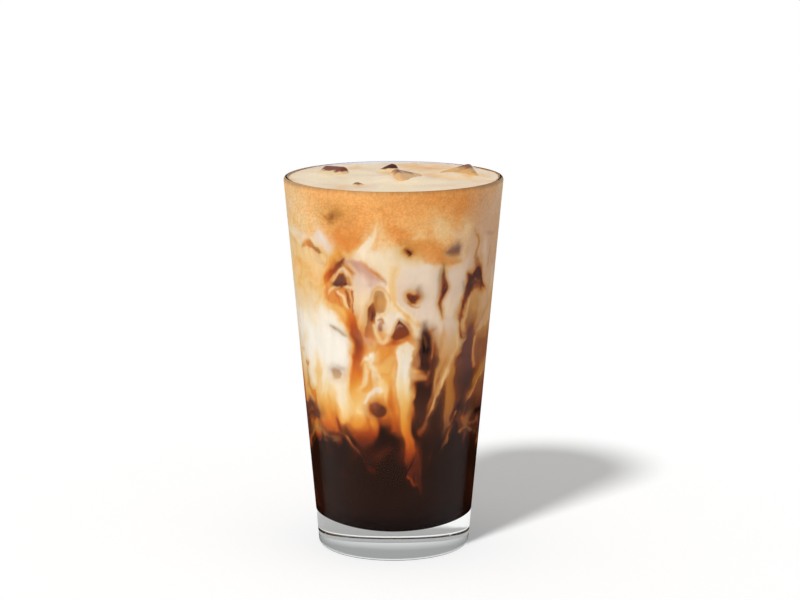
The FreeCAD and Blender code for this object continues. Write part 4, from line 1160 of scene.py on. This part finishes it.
@dataclass(frozen=True)
class PressedGlass:
    """Soda-lime glass, pressed in a mould and fire polished.

    Fire polishing leaves it clear and bright, with a faint lazy waviness that bends what is
    seen through it, and a breath of green in its thick foot.

    Args:
        ior: of soda-lime glass.
        roughness: of a fire-polished face.
        tint: what a face passes.
        wave: spacing of the waviness in millimetres.
        swell: height of the waviness in millimetres.
        mirror: what it gives back, white for bare glass. A polarising filter takes most of it.
        glance: how far from face on, from 0 to 1, the filter begins to take the rest, and where
            it has taken all of it.
        lip: painted shade, a grey laid on the glass at the round of the lip.
        lip_band: heights between which that grey comes in, in millimetres.
    """

    ior: float = 1.52
    roughness: float = 0.012
    tint: str = "#fbfdfc"
    wave: float = 9.0
    swell: float = 0.02
    mirror: str = "#6c6c6c"
    glance: tuple[float, float] = (0.2, 0.6)
    lip: str = "#cdd3e2"
    lip_band: tuple[float, float] = (151.3, 152.6)

    def build(self) -> bpy.types.Material:
        """Builds the material. Shadow rays and diffuse rays go straight through it."""
        material, tree = new_material("pressed_glass")
        place = add_node(tree, "TexCoord").outputs["Object"]
        waves = add_node(
            tree, "TexNoise", {"Vector": place, "Scale": per_mm(self.wave), "Detail": 1.0}
        )
        relief = add_node(
            tree,
            "Bump",
            {"Height": waves.outputs["Fac"], "Distance": self.swell * MM, "Strength": 1.0},
        )
        # painted shade: a grey laid on the glass at the round of the lip
        height = add_node(tree, "SeparateXYZ", {0: place}).outputs["Z"]
        foot, top = (level * MM for level in self.lip_band)
        lip_shade_share = add_node(tree, "MapRange", {0: height, 1: foot, 2: top})
        tint = add_node(
            tree,
            "Mix",
            {0: lip_shade_share.outputs[0], 6: to_linear(self.tint), 7: to_linear(self.lip)},
            data_type="RGBA",
        ).outputs[2]
        glass = add_node(
            tree,
            "BsdfPrincipled",
            {
                "Base Color": tint,
                "Roughness": self.roughness,
                "IOR": self.ior,
                "Transmission Weight": 1.0,
                "Specular Tint": to_linear(self.mirror),
                "Normal": relief.outputs["Normal"],
            },
        )
        dull = add_node(
            tree,
            "BsdfRefraction",
            {
                "Color": tint,
                "Roughness": self.roughness,
                "IOR": self.ior,
                "Normal": relief.outputs["Normal"],
            },
        )
        slant = add_node(tree, "LayerWeight", {"Blend": 0.5})
        start, end = self.glance
        taken = add_node(tree, "MapRange", {0: slant.outputs["Facing"], 1: start, 2: end})
        inside = add_node(tree, "NewGeometry").outputs["Backfacing"]
        taken = add_node(
            tree, "Math", {0: taken.outputs[0], 1: inside}, operation="SUBTRACT", use_clamp=True
        )
        glass = add_node(
            tree, "MixShader", {0: taken.outputs[0], 1: glass.outputs[0], 2: dull.outputs[0]}
        )
        clear = add_node(tree, "BsdfTransparent", {"Color": to_linear(self.tint)})
        path = add_node(tree, "LightPath")
        unseen = add_node(
            tree,
            "Math",
            {0: path.outputs["Is Shadow Ray"], 1: path.outputs["Is Diffuse Ray"]},
            operation="MAXIMUM",
        )
        mixed = add_node(
            tree,
            "MixShader",
            {0: unseen.outputs[0], 1: glass.outputs[0], 2: clear.outputs[0]},
        )
        add_node(tree, "OutputMaterial", {"Surface": mixed.outputs[0]})
        return material


@dataclass(frozen=True)
class DrinkAtGlass:
    """Milk, coffee and crema pressed against the glass: no air between, so no gloss of its own.

    Args:
        name: of the material.
        bubble: width of the crema's bubbles in millimetres, drawn some three times as coarse
            as real ones so that they show.
        clump: width of a patch of finer or coarser bubbles in millimetres.
        pitting: how much darker the gaps between bubbles are.
        wisp: width of the finest threads of milk in millimetres.
        threads: how strong those threads are.
        fleck: how much of the pitting goes into red, green and blue, which turns it brown.
    """

    name: str
    bubble: float = 0.9
    clump: float = 1.7
    pitting: float = 0.11
    wisp: float = 0.8
    threads: float = 0.018
    fleck: tuple[float, float, float] = (0.5, 1.25, 2.0)

    def build(self) -> bpy.types.Material:
        """Builds the material from the colours laid on the piece."""
        material, tree = new_material(self.name)
        place = add_node(tree, "TexCoord").outputs["Object"]
        colour = add_node(tree, "Attribute", attribute_name="marbling").outputs["Color"]
        froth = add_node(tree, "Attribute", attribute_name="froth").outputs["Fac"]
        bubbles = add_node(
            tree,
            "TexVoronoi",
            {"Vector": place, "Scale": per_mm(self.bubble), "Randomness": 1.0},
            feature="F1",
        )
        clumps = add_node(
            tree,
            "TexNoise",
            {"Vector": place, "Scale": per_mm(self.clump), "Detail": 4.0, "Roughness": 0.7},
        )
        pit, patch = self.pitting, 0.6 * self.pitting
        pits = add_node(
            tree,
            "MapRange",
            {0: bubbles.outputs["Distance"], 1: 0.1, 2: 0.75, 3: 0.9 * pit, 4: -pit},
        )
        patches = add_node(
            tree, "MapRange", {0: clumps.outputs["Fac"], 1: 0.3, 2: 0.7, 3: -patch, 4: patch}
        )
        grain = add_node(tree, "Math", {0: pits.outputs[0], 1: patches.outputs[0]}, operation="ADD")
        grain = add_node(tree, "Math", {0: grain.outputs[0], 1: froth}, operation="MULTIPLY")
        stretched = add_node(tree, "Mapping", {"Vector": place, "Scale": (1.0, 1.0, 0.35)})
        silk = add_node(
            tree,
            "TexNoise",
            {
                "Vector": stretched.outputs[0],
                "Scale": per_mm(self.wisp * 2),
                "Detail": 5.0,
                "Distortion": 1.2,
            },
        )
        threads = add_node(
            tree,
            "MapRange",
            {0: silk.outputs["Fac"], 1: 0.3, 2: 0.7, 3: -self.threads, 4: self.threads},
        )
        base = add_node(tree, "Math", {0: threads.outputs[0], 1: 1.0}, operation="ADD")
        tones = [
            add_node(
                tree,
                "Math",
                {0: grain.outputs[0], 1: part, 2: base.outputs[0]},
                operation="MULTIPLY_ADD",
            ).outputs[0]
            for part in self.fleck
        ]
        tone = add_node(tree, "CombineXYZ", {0: tones[0], 1: tones[1], 2: tones[2]})
        shade = add_node(
            tree, "VectorMath", {0: colour, 1: tone.outputs[0]}, operation="MULTIPLY"
        )
        body = add_node(
            tree,
            "BsdfPrincipled",
            {
                "Base Color": shade.outputs[0],
                "Roughness": 0.6,
                "IOR": 1.34,
                "Specular IOR Level": 0.0,
            },
        )
        add_node(tree, "OutputMaterial", {"Surface": body.outputs[0]})
        return material


@dataclass(frozen=True)
class FoamTop:
    """The top of the espresso foam: matt, wet in places, a close skin of bubbles.

    Args:
        bubble: width of the common bubbles in millimetres.
        froth: width of the few large ones.
        relief: how far a bubble stands up, in millimetres.
        roughness: of the wet skin.
    """

    bubble: float = 0.8
    froth: float = 2.2
    relief: float = 0.16
    roughness: float = 0.38

    def build(self) -> bpy.types.Material:
        """Builds the material from the colours laid on the piece."""
        material, tree = new_material("espresso_foam_skin")
        place = add_node(tree, "TexCoord").outputs["Object"]
        colour = add_node(tree, "Attribute", attribute_name="marbling").outputs["Color"]
        fine = add_node(tree, "TexVoronoi", {"Vector": place, "Scale": per_mm(self.bubble)})
        large = add_node(
            tree, "TexVoronoi", {"Vector": place, "Scale": per_mm(self.froth)}, feature="SMOOTH_F1"
        )
        both = add_node(
            tree,
            "Math",
            {0: fine.outputs["Distance"], 1: large.outputs["Distance"]},
            operation="ADD",
        )
        tone = add_node(tree, "MapRange", {0: both.outputs[0], 1: 0.3, 2: 1.4, 3: 1.02, 4: 0.97})
        shade = add_node(tree, "VectorMath", {0: colour, 3: tone.outputs[0]}, operation="SCALE")
        height = add_node(tree, "Math", {0: 1.0, 1: both.outputs[0]}, operation="SUBTRACT")
        relief = add_node(
            tree,
            "Bump",
            {"Height": height.outputs[0], "Distance": self.relief * MM, "Strength": 0.8},
        )
        body = add_node(
            tree,
            "BsdfPrincipled",
            {
                "Base Color": shade.outputs[0],
                "Roughness": self.roughness,
                "IOR": 1.34,
                "Normal": relief.outputs["Normal"],
            },
        )
        add_node(tree, "OutputMaterial", {"Surface": body.outputs[0]})
        return material


@dataclass(frozen=True)
class CoatedIce:
    """Moulded ice, wet with espresso and filmed with foam.

    The ice itself is clear and takes the dark of the coffee under it. The film is tan, thick
    at the foam and torn further up, and the wet skin gives small hard glints.

    Args:
        name: of the material.
        deep: colour seen down into the ice.
        film: colour of the film of foam.
        foam_level: height of the level foam in millimetres.
        film_reach: how far the film climbs, in millimetres.
        roughness: of the wet skin.
    """

    name: str
    deep: str = "#5b2a1c"
    film: str = "#d8a36a"
    foam_level: float = 152.3
    film_reach: float = 3.4
    roughness: float = 0.09

    def build(self) -> bpy.types.Material:
        """Builds the material."""
        material, tree = new_material(self.name)
        place = add_node(tree, "TexCoord").outputs["Object"]
        tears = add_node(
            tree,
            "TexNoise",
            {"Vector": place, "Scale": per_mm(5.0), "Detail": 6.0, "Distortion": 0.6},
        )
        height = add_node(tree, "SeparateXYZ", {0: place}).outputs["Z"]
        climb = add_node(
            tree,
            "MapRange",
            {
                0: height,
                1: self.foam_level * MM,
                2: (self.foam_level + self.film_reach) * MM,
                3: 0.75,
                4: -0.15,
            },
        )
        cover = add_node(
            tree, "Math", {0: climb.outputs[0], 1: tears.outputs["Fac"]}, operation="ADD"
        )
        cover = add_node(tree, "MapRange", {0: cover.outputs[0], 1: 0.5, 2: 0.78})
        colour = add_node(
            tree,
            "Mix",
            {0: cover.outputs[0], 6: to_linear(self.deep), 7: to_linear(self.film)},
            data_type="RGBA",
        )
        fine = add_node(tree, "TexNoise", {"Vector": place, "Scale": per_mm(1.1), "Detail": 3.0})
        relief = add_node(
            tree, "Bump", {"Height": fine.outputs["Fac"], "Distance": 0.12 * MM, "Strength": 0.7}
        )
        body = add_node(
            tree,
            "BsdfPrincipled",
            {
                "Base Color": colour.outputs[2],
                "Roughness": self.roughness,
                "IOR": 1.31,
                "Normal": relief.outputs["Normal"],
                "Coat Weight": 0.6,
                "Coat Roughness": 0.04,
            },
        )
        add_node(tree, "OutputMaterial", {"Surface": body.outputs[0]})
        return material


@dataclass(frozen=True)
class PaperSweep:
    """Matt white background paper. It lies flat, and shows the shadow as a soft grey.

    Args:
        colour: of the paper.
        lift: what brings it up to white for the eye, in glass and in reflections too.
    """

    colour: str = "#fafafa"
    lift: float = 0.14

    def build(self) -> bpy.types.Material:
        """Builds the material."""
        material, tree = new_material("white_paper_sweep")
        place = add_node(tree, "TexCoord").outputs["Object"]
        fibre = add_node(tree, "TexNoise", {"Vector": place, "Scale": per_mm(1.5), "Detail": 3.0})
        relief = add_node(
            tree, "Bump", {"Height": fibre.outputs["Fac"], "Distance": 0.01 * MM, "Strength": 0.3}
        )
        paper = add_node(
            tree,
            "BsdfDiffuse",
            {"Color": to_linear(self.colour), "Normal": relief.outputs["Normal"]},
        )
        path = add_node(tree, "LightPath")
        seen = path.outputs["Is Camera Ray"]
        for other in ("Is Glossy Ray", "Is Transmission Ray"):
            seen = add_node(
                tree, "Math", {0: seen, 1: path.outputs[other]}, operation="MAXIMUM"
            ).outputs[0]
        amount = add_node(tree, "Math", {0: seen, 1: self.lift}, operation="MULTIPLY")
        glow = add_node(tree, "Emission", {"Strength": amount.outputs[0]})
        both = add_node(tree, "AddShader", {0: paper.outputs[0], 1: glow.outputs[0]})
        add_node(tree, "OutputMaterial", {"Surface": both.outputs[0]})
        return material


# ---------------------------------------------------------------- the tumbler


def arc(centre: Place, radius: float, start: float, end: float, steps: int) -> list[Place]:
    """Points along an arc, from one angle in degrees to another, both included."""
    turns = np.radians(np.linspace(start, end, steps + 1))
    return [(centre[0] + radius * math.cos(t), centre[1] + radius * math.sin(t)) for t in turns]


def spread(start: Place, end: Place, steps: int) -> list[Place]:
    """Points along a straight line, without its two ends."""
    (x, y), (far_x, far_y) = start, end
    return [(x + s * (far_x - x), y + s * (far_y - y)) for s in np.arange(1, steps) / steps]


def revolve(section: list[Place], bearings: np.ndarray) -> np.ndarray:
    """Turns a section of radii and heights to each bearing, as rings of points."""
    turns = np.radians(bearings)
    radii, heights = np.array(section).T
    x = radii[:, None] * np.cos(turns)
    y = radii[:, None] * np.sin(turns)
    return np.stack([x, y, np.repeat(heights[:, None], len(turns), 1)], axis=2)


@dataclass(frozen=True)
class Tumbler:
    """The pressed tumbler: a straight taper, a round lip, a heavy foot and a dished floor.

    All sizes are in millimetres.

    Args:
        height: table to the top of the lip.
        rim_radius: outside of the wall at the lip.
        foot_radius: outside of the wall carried down to the table.
        wall_at_rim: thickness of the wall at the lip.
        wall_at_foot: thickness of the wall carried down to the table.
        lip_round: inside and outside of the lip.
        heel_round: between the wall and the foot.
        floor_height: table to the lowest point of the bore.
        floor_dish: radius of the dished floor.
        floor_corner: round between the floor and the wall of the bore.
        punt_radius: edge of the hollow under the foot.
        punt_depth: middle of that hollow above the table.
        columns: facets round the wall.
    """

    height: float = 153.0
    rim_radius: float = 44.6
    foot_radius: float = 30.9
    wall_at_rim: float = 2.3
    wall_at_foot: float = 3.5
    lip_round: float = 1.1
    heel_round: float = 1.6
    floor_height: float = 8.75
    floor_dish: float = 60.0
    floor_corner: float = 4.5
    punt_radius: float = 22.0
    punt_depth: float = 0.4
    columns: int = 288

    def bore_radius(self, height: float, reach: float = 0.0) -> float:
        """Radius of the tapered bore at a height, drawn into the wall by the reach."""
        rim, foot = self.rim_radius - self.wall_at_rim, self.foot_radius - self.wall_at_foot
        return foot + (rim - foot) * height / self.height + reach

    def bore_floor(self, reach: float = 0.0, steps: int = 30) -> list[Place]:
        """The floor of the bore and its rounded corner, from the axis out to the wall.

        Args:
            reach: how far it is drawn into the glass.
            steps: points along the dish.

        Returns:
            Radii and heights, the last one on the wall.
        """
        lean = self.bore_radius(1) - self.bore_radius(0)
        middle = self.floor_height + self.floor_dish
        slant = math.atan(lean)
        inner = self.floor_dish + reach - self.floor_corner
        # the corner's middle is as far inside the wall as it is above the dish
        start = self.bore_radius(0, reach) - self.floor_corner * math.hypot(1, lean)
        a, b = 1 + lean**2, 2 * (lean * start - middle)
        c = start**2 + middle**2 - inner**2
        level = (-b - math.sqrt(b**2 - 4 * a * c)) / (2 * a)
        corner = (start + lean * level, level)
        swing = math.degrees(math.atan2(corner[1] - middle, corner[0]))
        dish = arc((0, middle), self.floor_dish + reach, -90, swing, steps)
        turn = arc(corner, self.floor_corner, swing, -math.degrees(slant), 12)
        return dish + turn[1:]

    def section(self) -> list[Place]:
        """The whole section, from the middle of the foot round to the middle of the floor."""
        flare = (self.rim_radius - self.foot_radius) / self.height
        bore = (self.bore_radius(self.height) - self.bore_radius(0)) / self.height
        slant, draft = math.degrees(math.atan(flare)), math.degrees(math.atan(bore))
        sphere = (self.punt_radius**2 + self.punt_depth**2) / (2 * self.punt_depth)
        edge = math.degrees(math.acos(self.punt_radius / sphere))
        punt = arc((0, self.punt_depth - sphere), sphere, 90, edge, 16)
        heel = self.heel_round
        out = self.foot_radius + flare * heel - heel * math.hypot(1, flare)
        foot = arc((out, heel), heel, -90, -slant, 16)
        lip, top = self.lip_round, self.height - self.lip_round
        outside = self.foot_radius + flare * top - lip * math.hypot(1, flare)
        inside = self.bore_radius(top) + lip * math.hypot(1, bore)
        over = arc((outside, top), lip, -slant, 90, 12)
        over += arc((inside, top), lip, 90, 180 - draft, 12)
        floor = self.bore_floor()[::-1]
        line = punt + spread(punt[-1], foot[0], 4) + foot + spread(foot[-1], over[0], 60)
        return line + over + spread(over[-1], floor[0], 60) + floor

    def build(self) -> bpy.types.Object:
        """Builds and dresses the tumbler, in place of its CAD node."""
        bearings = np.arange(self.columns) * 360 / self.columns
        piece = make_skin("tumbler", revolve(self.section()[1:-1], bearings))
        piece.data.materials.append(PressedGlass().build())
        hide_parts("glass")
        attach(piece, BODY)
        return piece


# ---------------------------------------------------------------- the drink


def waves(bearing: np.ndarray, lobes: tuple[tuple[int, float, float], ...]) -> np.ndarray:
    """Waves of a layer's edge along the wall: lobes round the wall, share and crest bearing."""
    return sum(share * np.cos(np.radians(n * (bearing - crest))) for n, share, crest in lobes)


@dataclass(frozen=True)
class Drink:
    """Coffee, milk and foam, each a piece of its own that reaches just into the wall.

    All sizes are in millimetres.

    Args:
        tumbler: what it fills.
        reach: how far the pieces reach into the glass, so that no air shows between them.
        fill_gap: top of the lip down to the foam at the wall.
        foam_depth: foam at the wall, down to the milk.
        foam_swing: how far the foot of the foam rises and falls.
        coffee_depth: lowest point of the bore up to the milk.
        coffee_swing: how far the top of the coffee rises and falls.
        meniscus: how far the foam climbs the wall.
        meniscus_width: how far from the wall it starts to climb.
        ripple: gentle waves of the foam.
        bare_ice: what the top of a cube shows above the foam drawn up round it.
        mound_width: width of that mound.
        columns: points round the wall.
        step: height of a row of points.
    """

    tumbler: Tumbler
    reach: float = 0.12
    fill_gap: float = 0.7
    foam_depth: float = 20.0
    foam_swing: float = 7.0
    coffee_depth: float = 43.0
    coffee_swing: float = 5.0
    meniscus: float = 0.3
    meniscus_width: float = 2.5
    ripple: float = 0.25
    bare_ice: float = 2.6
    mound_width: float = 10.9
    columns: int = 620
    step: float = 0.52

    @property
    def foam_level(self) -> float:
        """Height of the level foam."""
        return self.tumbler.height - self.fill_gap

    def bearings(self) -> np.ndarray:
        """The bearings of the columns, in degrees."""
        return np.arange(self.columns) * 360 / self.columns - 180

    def coffee_top(self) -> np.ndarray:
        """Height of the top of the coffee at the wall, for each column."""
        lobes = ((1, 0.20, 20.0), (3, 0.35, 160.0), (5, 0.25, 235.0), (7, 0.20, 10.0))
        level = self.tumbler.floor_height + self.coffee_depth
        return level + self.coffee_swing * waves(self.bearings(), lobes)

    def foam_foot(self) -> np.ndarray:
        """Height of the foot of the foam at the wall, for each column."""
        lobes = ((1, 0.15, 60.0), (3, 0.35, 40.0), (5, 0.30, 106.0), (8, 0.20, 300.0))
        return self.foam_level - self.foam_depth + self.foam_swing * waves(self.bearings(), lobes)

    def foam_height(self, x: np.ndarray, y: np.ndarray) -> np.ndarray:
        """Height of the top of the foam at places: level, rippled, and drawn up at the ice."""
        rim = self.tumbler.bore_radius(self.foam_level)
        away = np.hypot(x, y)
        bearing = np.degrees(np.arctan2(y, x))
        climb = self.meniscus * np.exp(-np.maximum(rim - away, 0) / self.meniscus_width)
        share = np.minimum(away / rim, 1)
        swell = 0.6 * share**2 * np.cos(np.radians(2 * (bearing - 15)))
        swell = swell + 0.4 * share**5 * np.cos(np.radians(5 * (bearing - 140)))
        mound = np.zeros_like(x)
        for name in ICE_NODES:
            low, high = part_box(name)
            cx, cy = (low.x + high.x) / 2 / MM, (low.y + high.y) / 2 / MM
            tall = high.z / MM - self.foam_level - self.bare_ice
            near = np.exp(-((np.hypot(x - cx, y - cy) / self.mound_width) ** 4))
            mound = np.maximum(mound, tall * near)
        return self.foam_level + climb + self.ripple * swell + mound

    def wall_rings(self, low: np.ndarray, high: np.ndarray) -> np.ndarray:
        """Rings of points up the wall between two edges, given for each column."""
        rows = max(2, round((high - low).mean() / self.step))
        shares = np.linspace(0, 1, rows + 1)[:, None]
        heights = low[None] * (1 - shares) + high[None] * shares
        turns = np.radians(self.bearings())
        radii = self.tumbler.bore_radius(heights, self.reach)
        return np.stack([radii * np.cos(turns), radii * np.sin(turns), heights], axis=2)

    def finish(self, piece: bpy.types.Object, node: str, material: bpy.types.Material) -> None:
        """Paints a piece, gives it its material, and lets it stand for its CAD node."""
        piece.data.materials.append(material)
        lay_colours(piece, *Marbling().paint(wall_of(piece)))
        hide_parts(node)
        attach(piece, BODY)

    def build_coffee(self) -> bpy.types.Object:
        """The coffee, on the dished floor."""
        floor = self.tumbler.bore_floor(self.reach)[1:]
        wall = self.wall_rings(np.full(self.columns, floor[-1][1]), self.coffee_top())
        rows = np.concatenate([revolve(floor, self.bearings()), wall[1:]])
        piece = make_skin("coffee_layer", rows, (len(rows) - 1,))
        self.finish(piece, "coffee", DrinkAtGlass("cold_espresso", threads=0.12).build())
        return piece

    def build_milk(self) -> bpy.types.Object:
        """The milk and all that marbles it."""
        rows = self.wall_rings(self.coffee_top(), self.foam_foot())
        piece = make_skin("marbled_milk", rows, (0, len(rows) - 1))
        self.finish(piece, "milk", DrinkAtGlass("milk_in_espresso").build())
        return piece

    def build_foam(self) -> bpy.types.Object:
        """The foam: its wall, and its top drawn in to the middle."""
        turns = np.radians(self.bearings())
        rim = self.tumbler.bore_radius(self.foam_level, self.reach)
        edge = self.foam_height(rim * np.cos(turns), rim * np.sin(turns))
        wall = self.wall_rings(self.foam_foot(), edge)
        shares = np.linspace(1, 0, 72)[1:-1, None]
        x, y = shares * wall[-1, :, 0], shares * wall[-1, :, 1]
        top = np.stack([x, y, self.foam_height(x, y)], axis=2)
        piece = make_skin("espresso_foam", np.concatenate([wall, top]), (0, len(wall) - 1))
        self.finish(piece, "foam", DrinkAtGlass("espresso_crema").build())
        piece.data.materials.append(FoamTop().build())
        # the faces of the top, and the fan that shuts it, have the second material
        on_top = len(wall) - 1
        which = np.zeros(len(piece.data.polygons), np.int32)
        which[on_top * self.columns : (len(wall) + len(top) - 1) * self.columns] = 1
        which[-self.columns :] = 1
        piece.data.polygons.foreach_set("material_index", which)
        self.colour_top(piece, len(wall))
        return piece

    def colour_top(self, piece: bpy.types.Object, wall_rows: int) -> None:
        """Lays cream and tan on the top of the foam, over what its vertices hold."""
        spots = np.empty(len(piece.data.vertices) * 3)
        piece.data.vertices.foreach_get("co", spots)
        x, y, _ = spots.reshape(-1, 3).T / MM
        top = np.arange(len(x)) >= wall_rows * self.columns
        top[-2:] = (False, True)  # the middles of the two ends come last
        # the top is laid out flat, as if it were a patch of the wall
        middle = np.full(top.sum(), MEAN_RADIUS)
        flat = Wall(np.degrees(x[top] / MEAN_RADIUS), y[top], middle)
        bent = Marbling().bent(flat, 300)
        patches = 0.5 + 0.6 * turbulence(bent, 15, 13, 4, 310)
        shades = (T.FROTH, T.FROTH, T.CREAM, T.CREMA_PALE, T.CREMA)
        tints = ramp(patches, shades, (0, 0.4, 0.65, 0.9, 1.2))
        layer = piece.data.attributes["marbling"]
        rows = np.empty(len(x) * 4, np.float32)
        layer.data.foreach_get("color", rows)
        rows = rows.reshape(-1, 4)
        rows[top, :3] = linearised(tints)
        layer.data.foreach_set("color", rows.ravel())

    def build(self) -> list[bpy.types.Object]:
        """Builds the three layers."""
        return [self.build_coffee(), self.build_milk(), self.build_foam()]


# ---------------------------------------------------------------- the ice

ICE_NODES = ("ice_1", "ice_2", "ice_3", "ice_4", "ice_5")


@dataclass(frozen=True)
class FloatingIce:
    """The five cubes that float in the top. Their CAD shapes stay, and each gets its film.

    Args:
        finishes: the finish of each cube.
    """

    finishes: tuple[tuple[str, CoatedIce], ...] = (
        ("ice_1", CoatedIce("ice_under_crema", deep="#8a4f2c", film="#e9b678", film_reach=4.8)),
        ("ice_2", CoatedIce("ice_wet_tan", deep="#7e4a22", film="#dfa962", film_reach=4.6)),
        ("ice_3", CoatedIce("ice_burgundy", deep="#4a1812", film="#f0d2a2", film_reach=1.3)),
        ("ice_4", CoatedIce("ice_red_brown", deep="#7a3620", film="#f0d2a2", film_reach=2.2)),
        ("ice_5", CoatedIce("ice_drowned", deep="#94603c", film="#e2bd8c", film_reach=0.6)),
    )

    def build(self) -> list[bpy.types.Object]:
        """Dresses the cubes."""
        cubes = []
        for name, finish in self.finishes:
            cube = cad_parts[name]
            cube.data.materials.clear()
            cube.data.materials.append(finish.build())
            cubes.append(cube)
        return cubes


# ---------------------------------------------------------------- the studio


@dataclass(frozen=True)
class Studio:
    """White sweep, one large soft lamp high on the left, and even light from all round.

    Args:
        key_towards: direction from the object to the key lamp.
        key_strength: of the key lamp.
        key_angle: how wide it looks from the object, in degrees, which softens its shadow.
        fill: level of the even light.
        sweep_turns: how high above the horizon the white sweep begins to darken, and where it
            has the level of the even light, in degrees.
        floor_half: half the width of the paper, in metres.
        eye: where the camera stands, in metres.
        look_down: how far it looks below level, in degrees.
        lens: its focal length on a 36 mm wide frame, in millimetres.
    """

    key_towards: tuple[float, float, float] = (-0.340, -0.576, 0.743)
    key_strength: float = 2.3
    key_angle: float = 8.0
    fill: float = 0.36
    sweep_turns: tuple[float, float] = (7.0, 18.0)
    floor_half: float = 8.0
    eye: tuple[float, float, float] = (0.00261, -1.0109, 0.3001)
    look_down: float = 11.10
    lens: float = 113.4

    def lay_floor(self) -> bpy.types.Object:
        """Lays the paper sweep."""
        half = self.floor_half
        mesh = bpy.data.meshes.new("paper_sweep")
        corners = [(-half, -half, 0), (half, -half, 0), (half, half, 0), (-half, half, 0)]
        mesh.from_pydata(corners, [], [(0, 1, 2, 3)])
        floor = bpy.data.objects.new("paper_sweep", mesh)
        bpy.context.scene.collection.objects.link(floor)
        mesh.materials.append(PaperSweep().build())
        return floor

    def light(self) -> None:
        """Hangs the key lamp and sets the world."""
        key = bpy.data.lights.new("key_lamp", "SUN")
        key.energy = self.key_strength
        key.angle = math.radians(self.key_angle)
        lamp = bpy.data.objects.new("key_lamp", key)
        lamp.rotation_mode = "QUATERNION"
        lamp.rotation_quaternion = Vector(self.key_towards).to_track_quat("Z", "Y")
        bpy.context.scene.collection.objects.link(lamp)
        world = bpy.data.worlds.new("studio")
        world.use_nodes = True
        tree = world.node_tree
        tree.nodes.clear()
        path = add_node(tree, "LightPath")
        bent = add_node(
            tree,
            "Math",
            {0: path.outputs["Is Glossy Ray"], 1: path.outputs["Is Transmission Ray"]},
            operation="MAXIMUM",
        )
        way = add_node(tree, "TexCoord").outputs["Generated"]
        rise = add_node(tree, "SeparateXYZ", {0: way}).outputs["Z"]
        low, high = (math.sin(math.radians(a)) for a in self.sweep_turns)
        sweep = add_node(tree, "MapRange", {0: rise, 1: low, 2: high, 3: 1.0, 4: 0.0})
        bent = add_node(
            tree, "Math", {0: bent.outputs[0], 1: sweep.outputs[0]}, operation="MULTIPLY"
        )
        seen = add_node(
            tree,
            "Math",
            {0: path.outputs["Is Camera Ray"], 1: bent.outputs[0]},
            operation="MAXIMUM",
        )
        level = add_node(tree, "MapRange", {0: seen.outputs[0], 3: self.fill, 4: 1.0})
        sky = add_node(
            tree, "Background", {"Color": to_linear("#ffffff"), "Strength": level.outputs[0]}
        )
        add_node(tree, "OutputWorld", {"Surface": sky.outputs[0]})
        bpy.context.scene.world = world

    def place_camera(self) -> None:
        """Stands the camera in front, a little above the lip."""
        lens = bpy.data.cameras.new("camera")
        lens.lens = self.lens
        lens.sensor_width = 36.0
        camera = bpy.data.objects.new("camera", lens)
        camera.location = self.eye
        camera.rotation_euler = (math.radians(90 - self.look_down), 0, 0)
        bpy.context.scene.collection.objects.link(camera)
        bpy.context.scene.camera = camera

    def build(self) -> None:
        """Sets up floor, light and camera."""
        self.lay_floor()
        self.light()
        self.place_camera()
        bpy.context.scene.view_settings.view_transform = "Standard"


# ---------------------------------------------------------------- the whole


def corners(box: tuple[Vector, Vector]) -> list[list[float]]:
    """The two corners of a box as plain lists."""
    return [[float(v) for v in corner] for corner in box]


def main() -> None:
    """Builds the studio, the tumbler, the drink and the ice."""
    logging.basicConfig(level=logging.INFO, format="%(name)s: %(message)s")
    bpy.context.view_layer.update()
    Studio().build()
    tumbler = Tumbler()
    made = [tumbler.build(), *Drink(tumbler).build(), *FloatingIce().build()]
    for piece in made:
        log.info("%s: %d faces", piece.name, len(piece.data.polygons))


if __name__ == "__main__":
    main()
